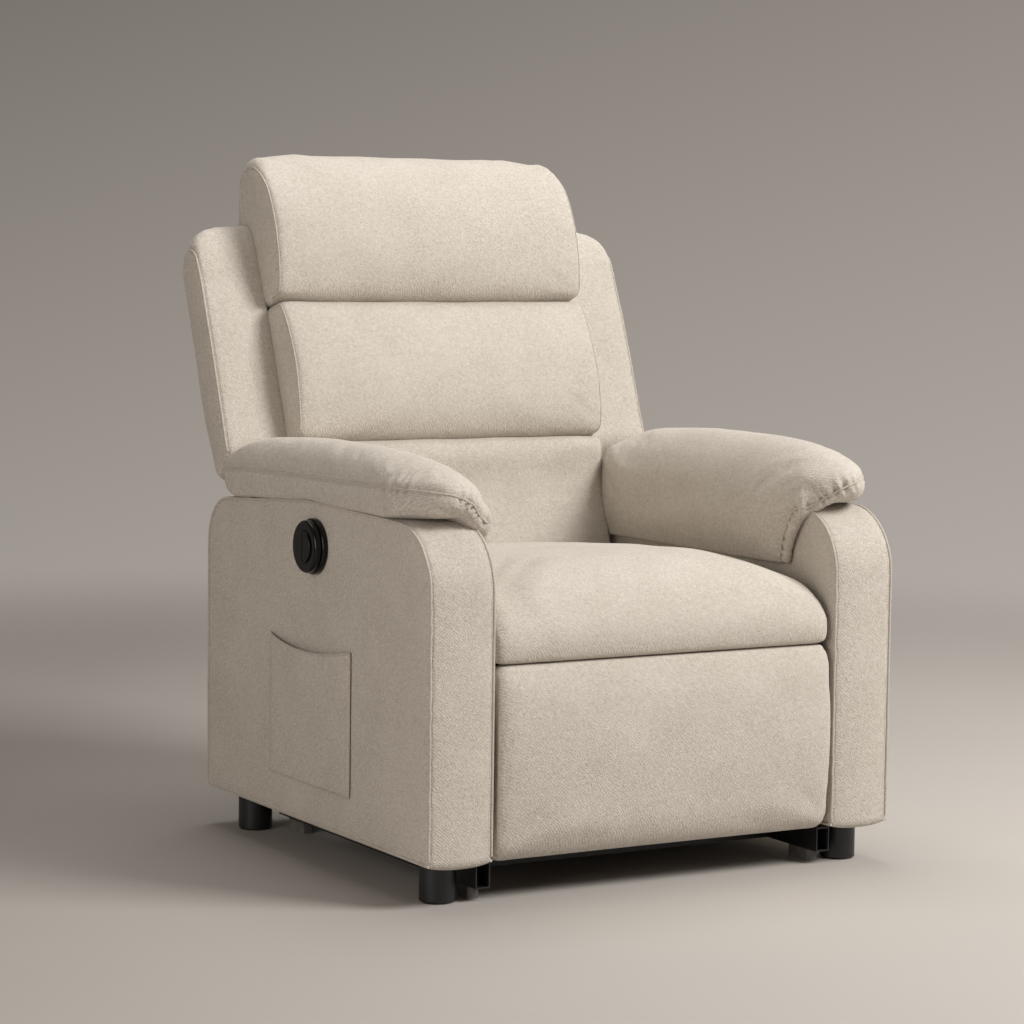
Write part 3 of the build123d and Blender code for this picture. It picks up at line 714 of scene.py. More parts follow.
# ---- seams -----------------------------------------------------------------------------------
@dataclass
class Seam:
    """A sewn line on a cushion, and what it does to the cloth beside it."""

    line: Points
    cord: float = 1.7           # radius of its piping, 0 for none
    groove: float = 1.4         # how deep the cloth is pulled in
    reach: float = 5.0          # how far the groove spreads
    gather: float = 0.0         # height of the puckers beside it
    gather_span: float = 40.0   # how far they run out
    gather_pitch: float = 13.0
    gather_end: float = 165.0   # how far back from the front line the puckers go
    stitched: Sequence[float] = ()   # rows of stitches, by their distance to its side

    def mirror(self) -> "Seam":
        """The same seam on the other side of the chair."""
        line = self.line * np.array([-1.0, 1.0, 1.0])
        return Seam(line, self.cord, self.groove, self.reach, self.gather, self.gather_span,
                    self.gather_pitch, self.gather_end, [-s for s in self.stitched])


def beside(points: Points, line: Points, reach: float) -> tuple[Points, Points, Points]:
    """Which points lie near a line.

    Args:
        points: chair points.
        line: the line's points.
        reach: how near is near.

    Returns:
        The near points' numbers, their distances, and how far along the line each lies.
    """
    fine = spaced(line, 2.0)
    tree = KDTree(len(fine))
    for i, p in enumerate(fine):
        tree.insert(p, i)
    tree.balance()
    low, high = fine.min(0) - reach, fine.max(0) + reach
    inside = np.flatnonzero(np.all((points > low) & (points < high), axis=1))
    found = [tree.find(points[i])[1:] for i in inside]
    along = np.array([f[0] for f in found], float) * 2.0
    away = np.array([f[1] for f in found], float)
    near = away < reach
    return inside[near], away[near], along[near]


def sew(piece: bpy.types.Object, seams: Sequence[Seam], seed: int = 1) -> None:
    """Pull the cloth in along its seams and gather it beside them."""
    points, normals = read_points(piece.data), read_normals(piece.data)
    for number, seam in enumerate(seams):
        if seam.groove:
            at, away, _ = beside(points, seam.line, 2.5 * seam.reach)
            points[at] -= normals[at] * (seam.groove * np.exp(-(away / seam.reach) ** 2))[:, None]
        if seam.gather:
            at, away, along = beside(points, seam.line, seam.gather_span)
            share = (away / 4.0) * np.exp(1 - away / 4.0) * 0.4 + np.exp(-away / 14.0)
            share *= np.clip(1 - away / seam.gather_span, 0, 1) * np.clip(away / 3.0, 0, 1)
            share *= np.clip((seam.gather_end - points[at, 1]) / 60.0, 0, 1)
            wander = ripple(np.column_stack([along, away * 0.3, along * 0]), 31.0, seed + number)
            wave = np.sin(2 * math.pi * along / seam.gather_pitch + 3.0 * wander)
            uneven = 0.5 + 0.5 * ripple(np.column_stack([along, along * 0, away * 0]), 55.0,
                                        seed + number + 50)
            points[at] += normals[at] * (seam.gather * wave * share * uneven)[:, None]
    write_points(piece.data, points)


def surface(mesh: bpy.types.Mesh) -> BVHTree:
    """A mesh's surface, to find the nearest spots on it."""
    return BVHTree.FromPolygons([Vector(v) for v in to_scene(read_points(mesh))],
                                [f.vertices[:] for f in mesh.polygons])


def laid(tree: BVHTree, line: Points) -> tuple[Points, Points]:
    """A line dropped onto a surface, and the surface's normals there."""
    spots, normals = [], []
    for point in to_scene(line):
        spot, normal, _, _ = tree.find_nearest(Vector(point))
        spots.append(spot)
        normals.append(normal)
    spots, normals = to_chair(np.array(spots)), np.array(normals)
    for values in (spots, normals):
        values[1:-1] = (values[:-2] + 2 * values[1:-1] + values[2:]) / 4
    return spots, normals / np.linalg.norm(normals, axis=1)[:, None]


@dataclass
class Trim:
    """All piping and stitching of one body, gathered while its cushions are made."""

    body: Body
    showing: float = 0.35       # share of a cord's radius that its middle stands out of the cloth
    thread_lift: float = 0.15
    stitch: tuple[float, float, float] = (4.6, 3.5, 0.95)   # pitch, length and thickness
    cords: dict[float, list[Points]] = field(default_factory=dict)
    rows: list[Points] = field(default_factory=list)

    def follow(self, piece: bpy.types.Object, seams: Sequence[Seam]) -> None:
        """Lay each seam's cord and stitches on a finished surface.

        Args:
            piece: the finished cushion.
            seams: its seams.
        """
        tree = surface(piece.data)
        for seam in seams:
            line = spaced(seam.line, 5.0)
            spot, normal = laid(tree, line)
            if seam.cord:
                self.cords.setdefault(seam.cord, []).append(
                    spot + normal * seam.cord * self.showing)
            ahead = np.gradient(spot, axis=0)
            ahead /= np.linalg.norm(ahead, axis=1)[:, None]
            across = np.cross(normal, ahead)
            for offset in seam.stitched:
                row, lift = laid(tree, spot + across * offset)
                self.rows.append(row + lift * self.thread_lift)

    def finish(self, piping: Recipe, stitches: Recipe) -> None:
        """Make the body's piping and stitches, and let them ride."""
        for radius, lines in self.cords.items():
            name = f"{self.body.value}_piping_{int(radius * 10)}"
            cord = piping.make(name, lines, PIPING, {"Radius": radius * MM})
            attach(cord, self.body.value) or cord
            log.info("%s: %d runs of piping", name, len(lines))
        if self.rows:
            name = f"{self.body.value}_stitches"
            labels = ("Pitch", "Length", "Thickness")
            rows = stitches.make(name, self.rows, THREAD,
                                 {label: size * MM for label, size in zip(labels, self.stitch)})
            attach(rows, self.body.value) or rows
            log.info("%s: %d rows", name, len(self.rows))


# ---- filling ---------------------------------------------------------------------------------
@dataclass(frozen=True)
class Filling:
    """Foam and fibre that push a cushion's cloth out between its seams."""

    voxel: float = 7.0
    pressure: float = 4.0
    slack: float = 0.0          # extra cloth, as a share of its size
    cap: float = 16.0           # furthest that the cloth may move
    frames: int = 20
    stiffness: float = 15.0
    ease: int = 2               # smoothing passes that take out small folds

    def fill(self, solid: bpy.types.Object, hold: Hold,
             seams: Sequence[Seam]) -> bpy.types.Object:
        """Turn a plain solid into a filled cushion.

        Args:
            solid: the closed starting shape, a little small.
            hold: which points can't move, from chair points and normals.
            seams: sewn lines, which hold the cloth.

        Returns:
            The cushion, as a plain fine mesh.
        """
        remeshed(solid, self.voxel)
        rest = read_points(solid.data)
        held = hold(rest, read_normals(solid.data)) > 0.5
        tree = surface(solid.data)
        for seam in seams:
            seam.line = laid(tree, spaced(seam.line, 5.0))[0]
            held[beside(rest, seam.line, 0.75 * self.voxel)[0]] = True
        self.blow(solid, rest, held)
        loose = solid.vertex_groups.new(name="loose")
        loose.add(np.flatnonzero(~held).tolist(), 1.0, "REPLACE")
        even = solid.modifiers.new("even", "SMOOTH")
        even.factor, even.iterations, even.vertex_group = EASE_FACTOR, self.ease, "loose"
        finer = solid.modifiers.new("finer", "SUBSURF")
        finer.levels = finer.render_levels = 1
        settle(solid)
        solid.vertex_groups.clear()
        solid.data.shade_smooth()
        return solid

    def blow(self, solid: bpy.types.Object, rest: Points, held: Points) -> None:
        """Run the cloth under pressure, and keep the result within the cap."""
        group = solid.vertex_groups.new(name="held")
        group.add(np.flatnonzero(held).tolist(), 1.0, "REPLACE")
        cloth = solid.modifiers.new("cloth", "CLOTH")
        settings = cloth.settings
        settings.quality = 6
        settings.mass = 0.3
        settings.air_damping = 2.0
        settings.tension_stiffness = settings.compression_stiffness = self.stiffness
        settings.shear_stiffness = 6.0
        settings.bending_stiffness = 0.6
        settings.use_pressure = True
        settings.uniform_pressure_force = self.pressure
        settings.vertex_group_mass = "held"
        settings.pin_stiffness = 1.0
        settings.shrink_min = -self.slack
        settings.effector_weights.gravity = 0.0
        cloth.point_cache.frame_start, cloth.point_cache.frame_end = 1, self.frames
        scene = bpy.context.scene
        for number in range(1, self.frames + 1):
            scene.frame_set(number)
        depsgraph = bpy.context.evaluated_depsgraph_get()
        blown = solid.evaluated_get(depsgraph)
        moved = read_points(blown.data) - rest
        solid.modifiers.remove(cloth)
        solid.vertex_groups.clear()
        scene.frame_set(1)
        length = np.linalg.norm(moved, axis=1)
        share = self.cap * np.tanh(length / self.cap) / np.maximum(length, 1e-6)
        write_points(solid.data, rest + moved * share[:, None])


def dress_soft(piece: bpy.types.Object, body: Body, node: str) -> None:
    """Give a filled cushion its cloth, and let it stand for its CAD solid on its body."""
    piece.data.materials.clear()
    piece.data.materials.append(LINEN.build())
    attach(piece, body.value)
    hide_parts(node)
    log.info("%s: %d faces", piece.name, len(piece.data.polygons))


# ---- seat and footrest -----------------------------------------------------------------------
@dataclass
class Seat:
    """The seat cushion: a crowned box whose front rolls down to the footrest."""

    wider: float = 7.0          # than its CAD solid, on each side
    edge: float = 9.0
    shoulder: float = 46.0      # radius of the top edges at the sides
    side_drop: float = 12.0
    rise: tuple[float, float] = (352.0, 88.0)   # where the crown starts, and over what height
    rear: float = 563.0
    rail: tuple[float, float] = (37.0, 18.0)    # the frame's front rail: its depth and height
    bottom: float = 331.0
    front: tuple[tuple[float, float], ...] = (
        (4.0, 331.0), (-4.0, 338.0), (-7.0, 367.0), (3.0, 406.0), (20.0, 434.0), (48.0, 450.0),
        (92.0, 458.0), (300.0, 450.0), (585.0, 430.0))

    def build(self) -> None:
        """Make, fill and dress the cushion."""
        low, high = node_box("seat_cushion")
        half = high[0] + self.wider
        depth, height = self.rail
        under = low[2] + height
        loop = closed([through(self.front), np.array([(self.rear, under), (depth, under),
                                                      (depth, self.bottom)])])
        solid = swept("seat_pad", loop, -half, half, self.edge, self.edge)
        points = read_points(solid.data)
        start, span = self.rise
        high_up = np.clip((points[:, 2] - start) / span, 0, 1)
        over = np.clip(np.abs(points[:, 0]) - (half - self.shoulder), 0, self.shoulder)
        drop = self.shoulder - np.sqrt(self.shoulder ** 2 - 0.92 * over ** 2)
        drop += self.side_drop * (np.abs(points[:, 0]) / half) ** 2
        points[:, 2] -= high_up * drop
        write_points(solid.data, points)

        def hold(p: Points, n: Points) -> np.ndarray:
            """Bottom, rear and lower sides lie against the frame and arms."""
            return ((p[:, 2] < start) & (p[:, 1] > 12.0)) | (p[:, 1] > 560.0) | (
                (np.abs(p[:, 0]) > half - 2.5) & (p[:, 2] < 410.0)) | (
                (p[:, 2] < 338.0))

        cushion = Filling(7.5, cap=9.0, ease=14).fill(solid, hold, [])
        points = read_points(cushion.data)
        points[:, 2] += 0.9 * ripple(points, 120.0, 5) * (points[:, 2] > 400)
        write_points(cushion.data, points)
        dress_soft(cushion, Body.CHAIR, "seat_cushion")


@dataclass
class Footrest:
    """The footrest's padded front, which hangs closed under the seat."""

    wider: float = 6.0          # than its CAD solid, on each side
    edge: float = 8.0
    top: float = 331.5
    bottom: float = 54.0
    tacked: float = 9.0         # depth against the board that stays still
    stapled: float = 4.0        # height under the top edge that stays still
    front: tuple[tuple[float, float], ...] = (
        (6.0, 54.0), (-6.0, 62.0), (-14.0, 90.0), (-18.0, 140.0), (-20.0, 193.0), (-18.0, 252.0),
        (-13.0, 300.0), (-8.0, 321.0), (4.0, 331.5))

    def build(self) -> None:
        """Make, fill and dress the pad."""
        high = node_box("footrest_pad")[1]
        half = high[0] + self.wider
        loop = closed([through(self.front), np.array([(high[1], self.top),
                                                      (high[1], self.bottom)])], 5.0)
        solid = swept("footrest_cushion", loop, -half, half, self.edge, self.edge)

        def hold(p: Points, n: Points) -> np.ndarray:
            """The back lies on its board and the edges are stapled round it."""
            edges = (p[:, 2] > self.top - self.stapled) | (np.abs(p[:, 0]) > half - 2.0)
            return (p[:, 1] > high[1] - self.tacked) | edges

        cushion = Filling(7.0, pressure=3.0, cap=4.0, ease=14).fill(solid, hold, [])
        points = read_points(cushion.data)
        points[:, 1] += 0.8 * ripple(points, 110.0, 8) * (points[:, 1] < 5)
        write_points(cushion.data, points)
        dress_soft(cushion, Body.FOOTREST, "footrest_pad")


# ---- backrest --------------------------------------------------------------------------------
@dataclass
class BackCushion:
    """One of the back's three stacked cushions, with a sewn gusset down each side."""

    node: str
    name: str
    profile: tuple[tuple[float, float], ...]
    flat: tuple[tuple[float, float], ...]
    trim: Trim
    cheek: tuple[float, float] = (0.0, 100.0)   # where its deep sides run, along the back
    edge: float = 13.0
    seam_turn: float = 38.0     # where round the edge its seam sits, in degrees from the side
    cheek_depth: float = 12.0   # thickness of the deep sides
    corner: float = 0.0         # radius of the top corners in front view
    cap: float = 10.0
    ease: int = 3
    wider: float = -0.5         # than its CAD solid, on each side
    seed: int = 1

    def shoulders(self, points: Points, half: float) -> Points:
        """Round the top corners as seen from the front."""
        along, behind = LEAN.read(points)
        over = np.clip(np.abs(points[:, 0]) - (half - self.corner), 0, self.corner)
        drop = self.corner - np.sqrt(self.corner ** 2 - over ** 2)
        top = max(a for a, _ in self.profile)
        share = np.clip((along - (top - 2.2 * self.corner)) / (2.2 * self.corner), 0, 1)
        return LEAN.moved(points, along - drop * share, behind)

    def build(self) -> None:
        """Make, fill, sew and dress the cushion."""
        half = node_box(self.node)[1][0] + self.wider
        front = through(LEAN.at(self.profile))
        loop = closed([front, LEAN.at(self.flat)])
        solid = swept("cushion_body", loop, -half, half, self.edge, self.edge)
        start, end = self.cheek
        side = closed([LEAN.at([(start, 0.0), (end, 0.0), (end - 4.0, 68.0), (start, 73.0)])])
        inner, outer = half - self.cheek_depth, half - 0.5
        cheeks = [swept("cheek", side, *sorted((s * inner, s * outer)), 2.0, 2.0) for s in (1, -1)]
        solid = joined(self.name, [solid, *cheeks])
        turn = math.radians(self.seam_turn)
        gusset = drawn_in(front, self.edge * (1 - math.sin(turn)))
        pulled = self.edge * (1 - math.cos(turn))
        lines = [in_plane(gusset, side * (half - pulled)) for side in (1, -1)]
        if self.corner:
            write_points(solid.data, self.shoulders(read_points(solid.data), half))
            lines = [self.shoulders(line, half) for line in lines]
        seams = [Seam(line, cord=1.3, groove=1.2, reach=5.0) for line in lines]

        def hold(p: Points, n: Points) -> np.ndarray:
            """The back of the cushion lies on the webbing."""
            _, behind = LEAN.read(p)
            return (behind > 18.0) | ((np.abs(p[:, 0]) > half - 2.5) & (behind > 4.0))

        cushion = Filling(7.0, cap=self.cap, ease=self.ease).fill(solid, hold, seams)
        unsettle(cushion, 0.8, 100.0, self.seed)
        sew(cushion, seams, self.seed)
        self.trim.follow(cushion, seams)
        dress_soft(cushion, Body.BACKREST, self.node)


@dataclass
class Wing:
    """A padded wing beside the back cushions, with a welt round its outer front edge."""

    trim: Trim
    edge: float = 11.0
    welt_turn: float = 40.0     # where round the edge its welt sits, in degrees from the side
    wider: float = 6.0          # than its CAD solid, on the outside
    shoulder: tuple[float, float] = (440.0, 552.0)   # where the slope starts, and its full height
    outline: tuple[tuple[float, float], ...] = (
        (134.0, 46.0), (168.0, 11.0), (360.0, 11.0), (500.0, 17.0), (532.0, 24.0), (546.0, 40.0),
        (528.0, 74.0), (505.0, 83.0), (236.0, 81.0), (142.0, 68.0), (129.0, 52.0))
    top: tuple[tuple[float, float], ...] = (
        (272.0, 559.0), (354.0, 549.0), (372.0, 536.0), (382.0, 516.0), (387.0, 476.0))

    def slope(self, points: Points) -> Points:
        """Slope the top down to the outer corner."""
        along, behind = LEAN.read(points)
        x, top = zip(*self.top)
        limit = np.interp(np.abs(points[:, 0]), x, top)
        start, full = self.shoulder
        share = np.clip((along - start) / (full - start), 0, 1)
        return LEAN.moved(points, along + share * (limit - full), behind)

    def build(self) -> None:
        """Make the left wing, then its mirror image."""
        low, high = node_box("back_wing_left")
        loop = closed([LEAN.at(self.outline)], 5.0)
        solid = swept("wing_left", loop, low[0] - 0.5, high[0] + self.wider, 5.0, self.edge)
        write_points(solid.data, self.slope(read_points(solid.data)))
        turn = math.radians(self.welt_turn)
        edge = drawn_in(through(LEAN.at(self.outline[1:6])), self.edge * (1 - math.sin(turn)))
        pulled = self.edge * (1 - math.cos(turn))
        seams = [Seam(self.slope(in_plane(edge, high[0] + self.wider - pulled)), cord=1.7, groove=1.2,
                      stitched=(5.5,))]

        def hold(p: Points, n: Points) -> np.ndarray:
            """The inner and rear faces lie on the wing's frame."""
            _, behind = LEAN.read(p)
            return (behind > 68.0) | (p[:, 0] < low[0] + 6.0)

        wing = Filling(6.0, cap=6.0).fill(solid, hold, seams)
        unsettle(wing, 0.6, 80.0, 31)
        sew(wing, seams, 17)
        self.trim.follow(wing, seams)
        other = mirrored(wing, "wing_right")
        self.trim.follow(other, [s.mirror() for s in seams])
        dress_soft(wing, Body.BACKREST, "back_wing_left")
        dress_soft(other, Body.BACKREST, "back_wing_right")


# ---- arms ------------------------------------------------------------------------------------
@dataclass
class ArmBox:
    """An arm's upholstered box: flat sides, and a band between two welts over front and top."""

    trim: Trim
    front_round: float = 96.0
    rear_round: float = 74.0
    corner: float = 2.6         # how far the welts sit in from the box's corner
    band_bulge: float = 5.0
    side_puff: float = 2.6
    top_line: tuple[tuple[float, float], ...] = ((-8.0, 526.0), (370.0, 536.0), (719.0, 514.0))
    control_clear: float = 52.0

    @property
    def control(self) -> Points:
        """The (y, z) point where the hand control is let in."""
        low, high = node_box("control_bezel")
        return (low[1:] + high[1:]) / 2

    def loop(self) -> Points:
        """The box's side view: upright front and rear, round top corners."""
        (y0, z0), crest, (y1, z1) = self.top_line
        low = node_box("arm_cover_left")[0][2]
        a, b = self.front_round, self.rear_round
        rise = (crest[1] - z0) / (crest[0] - y0)
        fall = (z1 - crest[1]) / (y1 - crest[0])
        front = arc((y0 + a, z0 + rise * a - a), a, 180.0, 90.0 + math.degrees(math.atan(rise)))
        rear = arc((y1 - b, z1 - fall * b - b), b, 90.0 + math.degrees(math.atan(fall)), 0.0)
        bottom = [arc((y1 - 5, low + 5), 5.0, 0.0, -90.0), arc((y0 + 5, low + 5), 5.0, -90.0,
                                                              -180.0)]
        return closed([front, np.array([crest]), rear, *bottom], 7.0)

    def panel(self, loop: Points, x: float, sense: int) -> Points:
        """The rings of a side panel, from its seam to a line in its middle.

        Args:
            loop: the seam's side view.
            x: the seam's distance from the middle plane.
            sense: 1 for the outer side, -1 for the inner side.

        Returns:
            The rings' points, one ring after another.
        """
        low, high = loop.min(0), loop.max(0)
        reach = (high[1] - low[1]) * 0.5
        spine = np.stack([np.clip(loop[:, 0], low[0] + reach, high[0] - reach),
                          np.full(len(loop), (low[1] + high[1]) / 2)], axis=1)
        rings = []
        for share in (0.006, 0.02, 0.045, 0.08, 0.13, 0.19, 0.26, 0.34, 0.43, 0.53, 0.63, 0.73,
                      0.83, 0.92, 0.985):
            ring = loop + (spine - loop) * share
            depth = np.linalg.norm(ring - loop, axis=1)
            puff = self.side_puff * (1 - np.exp(-depth / 11.0))
            puff *= 1 - 0.35 * (1 - np.exp(-depth / 120.0))
            far = np.linalg.norm(ring - self.control, axis=1)
            puff *= np.clip((far - 30.0) / self.control_clear, 0, 1)
            rings.append(in_plane(ring, 0.0))
            wave = ripple(rings[-1], 105.0, 40 + sense)
            rings[-1][:, 0] = x + sense * (puff + 0.55 * wave * np.clip(depth / 30.0, 0, 1)
                                           * np.clip((far - 40.0) / 60.0, 0, 1))
        return np.vstack(rings)

    def build(self) -> None:
        """Make the left box, then its mirror image."""
        low, high = node_box("arm_cover_left")
        loop = self.loop()
        count = len(loop)
        inner, outer = low[0] + self.corner, high[0] - self.corner
        across = np.linspace(-1.0, 1.0, 19)
        across = np.sign(across) * np.abs(across) ** 0.8
        band = []
        for t in across:
            out = self.band_bulge * (1 - abs(t) ** 2.4) - self.corner
            under = np.clip((500.0 - loop[:, 1]) / 60.0, 0.35, 1.0)
            ring = loop + (inset(loop, -1.0) - loop) * np.where(out > 0, out * under, out)[:, None]
            band.append(in_plane(ring, (inner + outer) / 2 + t * (outer - inner) / 2))
        seam_loop = inset(loop, self.corner)
        sides = [self.panel(seam_loop, inner, -1), self.panel(seam_loop, outer, 1)]
        rings = [*np.split(sides[0], len(sides[0]) // count)[::-1], *band,
                 *np.split(sides[1], len(sides[1]) // count)]
        faces: list[Sequence[int]] = list(ring_faces(len(rings), count))
        faces.append(list(range(count)))
        faces.append(list(range((len(rings) - 1) * count, len(rings) * count)))
        box = mesh_piece("arm_box_left", np.vstack(rings), faces)
        start = int(np.argmin(np.abs(loop[:, 0] - loop[:, 0].min()) + (loop[:, 1] - low[2])))
        order = np.roll(seam_loop, -start, axis=0)
        order = order[order[:, 1] > low[2] + self.corner + 2.0]
        seams = [Seam(in_plane(order, x), cord=2.1, groove=0.9, reach=3.5, stitched=(s * 6.0,))
                 for x, s in ((inner, 1), (outer, -1))]
        sew(box, seams, 71)
        self.trim.follow(box, seams)
        other = mirrored(box, "arm_box_right")
        self.trim.follow(other, [s.mirror() for s in seams])
        dress_soft(box, Body.CHAIR, "arm_cover_left")
        dress_soft(other, Body.CHAIR, "arm_cover_right")


@dataclass
class ArmPad:
    """A stuffed pad over an arm's top: round nose, gathered seams, and an apron down the inside."""

    trim: Trim
    top: tuple[tuple[float, float], ...] = (
        (40.0, 534.0), (15.0, 539.0), (2.0, 549.0), (-3.0, 565.0), (7.0, 583.0), (42.0, 600.0),
        (123.0, 613.0), (244.0, 620.0), (369.0, 620.0), (502.0, 615.0), (604.0, 603.0),
        (642.0, 586.0), (651.0, 560.0), (644.0, 530.0))
    crown: tuple[tuple[float, float], ...] = (
        (268.0, 0.40), (276.0, 0.54), (286.0, 0.66), (300.0, 0.78), (320.0, 0.91), (342.0, 0.99),
        (362.0, 0.98), (378.0, 0.92), (390.0, 0.82), (400.0, 0.68))
    nose: tuple[tuple[float, float], ...] = (
        (264.0, 92.0), (270.0, 79.0), (278.0, 61.0), (288.0, 44.0), (302.0, 28.0), (320.0, 17.0),
        (340.0, 14.0), (358.0, 24.0), (372.0, 43.0), (384.0, 65.0), (392.0, 83.0), (400.0, 102.0))
    nose_depth: float = 170.0   # how far back the nose's rounding reaches
    base: float = 548.0
    apron: tuple[tuple[float, float], ...] = (
        (103.0, 437.0), (96.0, 458.0), (85.0, 482.0), (70.0, 506.0), (55.0, 524.0),
        (51.0, 543.0), (70.0, 561.0), (112.0, 574.0), (600.0, 576.0), (634.0, 556.0),
        (642.0, 437.0))
    hug: float = 27.0           # how far the nose's inner side hangs below the rest of its lip
    swell: float = 8.0          # how far the nose's inner side bulges
    forward: float = 28.0       # how much further forward the right arm's apron starts

    def shaped(self, points: Points) -> Points:
        """Arch the pad from side to side, and round its nose as seen from above."""
        points = points.copy()
        x, share = zip(*self.crown)
        factor = np.interp(np.abs(points[:, 0]), x, share)
        over = points[:, 2] > self.base
        points[over, 2] = self.base + (points[over, 2] - self.base) * factor[over]
        x, back = zip(*self.nose)
        setback = np.interp(np.abs(points[:, 0]), x, back)
        near = np.clip((self.nose_depth - points[:, 1]) / self.nose_depth, 0, 1)
        points[:, 1] += setback * near
        hug = np.clip((320.0 - np.abs(points[:, 0])) / 30.0, 0, 1) ** 1.4
        hug *= np.clip((552.0 - points[:, 2]) / 20.0, 0, 1) * np.clip((125.0 - points[:, 1]) / 40.0,
                                                                      0, 1)
        points[:, 2] -= self.hug * hug
        return points

    def swollen(self, points: Points) -> Points:
        """Bulge the inner side beside the nose."""
        points = points.copy()
        share = np.exp(-((points[:, 2] - 520.0) / 62.0) ** 2)
        share *= np.clip((230.0 - points[:, 1]) / 120.0, 0, 1)
        share *= np.clip((300.0 - points[:, 0]) / 22.0, 0, 1)
        points[:, 0] -= self.swell * share
        return points

    def drawn(self, points: Points) -> Points:
        """Draw the apron's front edge forward, towards the box's front corner."""
        points = points.copy()
        share = np.clip((322.0 - np.abs(points[:, 0])) / 36.0, 0, 1)
        share *= np.clip((574.0 - points[:, 2]) / 86.0, 0, 1)
        share *= np.clip((190.0 - points[:, 1]) / 110.0, 0, 1)
        points[:, 1] -= self.forward * share
        return points

    def gathered(self, inner: float, outer: float) -> Points:
        """The gathered seam: along the outside, round the nose, then down the apron's front."""
        side = [(outer, y, z) for y, z in ((640.0, 563.0), (560.0, 568.0), (370.0, 571.0),
                                           (215.0, 573.0), (150.0, 574.0), (116.0, 574.0))]
        x, back = np.array(self.nose).T
        round_nose = [(at, np.interp(at, x, back) - 4.0, z) for at, z in
                      ((388.0, 574.0), (372.0, 573.0), (352.0, 571.0), (332.0, 566.0),
                       (314.0, 557.0), (300.0, 547.0), (288.0, 535.0))]
        down = [(inner, 80.0, 520.0), (inner, 92.0, 502.0), (inner, 103.0, 482.0),
                (inner, 112.0, 460.0), (inner, 117.0, 440.0)]
        return through(side + round_nose + down)

    def build(self) -> None:
        """Make the left pad, then its mirror image."""
        low, high = node_box("arm_pad_left")
        bottom = np.array([(616.0, 520.0), (370.0, 534.0), (100.0, 529.0), (64.0, 532.0)])
        loop = closed([through(self.top), bottom], 5.0)
        main = swept("pad_main", loop, low[0] - 0.5, high[0] - 1.0, 16.0, 7.0)
        flap = swept("pad_flap", closed([np.array(self.apron)], 5.0), low[0] - 3.5, 287.5, 5.0, 1.5)
        write_points(main.data, self.shaped(read_points(main.data)))
        solid = joined("arm_rest_left", [main, flap])
        write_points(solid.data, self.swollen(read_points(solid.data)))
        side = high[0] - 1.0
        band = through([(side, 124.0, 565.0), (side, 124.0, 552.0), (side, 124.0, 534.0)])
        seams = [Seam(self.gathered(low[0] - 8.0, side), cord=1.4, groove=2.4, reach=6.0,
                      gather=3.0, gather_span=56.0, gather_pitch=16.0, gather_end=175.0,
                      stitched=(4.5,)),
                 Seam(band, cord=0.0, groove=1.4, reach=3.5)]

        def hold(p: Points, n: Points) -> np.ndarray:
            """The underside and the inside of the apron lie on the box."""
            over_box = (p[:, 0] > 284.0) & (p[:, 2] < 536.5) & (p[:, 1] > 66.0)
            behind_apron = (p[:, 0] > 283.0) & (p[:, 0] < 292.0) & (p[:, 2] < 540.0)
            low_edge = p[:, 2] < 446.0
            return over_box | behind_apron | low_edge | (p[:, 1] > 640.0)

        pad = Filling(5.5, cap=9.0, slack=0.006).fill(solid, hold, seams)
        unsettle(pad, 0.7, 90.0, 61)
        sew(pad, seams, 23)
        self.trim.follow(pad, seams)
        other = mirrored(pad, "arm_rest_right")
        write_points(other.data, self.drawn(read_points(other.data)))
        turned = [s.mirror() for s in seams]
        for seam in turned:
            seam.line = self.drawn(seam.line)
        self.trim.follow(other, turned)
        dress_soft(pad, Body.CHAIR, "arm_pad_left")
        dress_soft(other, Body.CHAIR, "arm_pad_right")


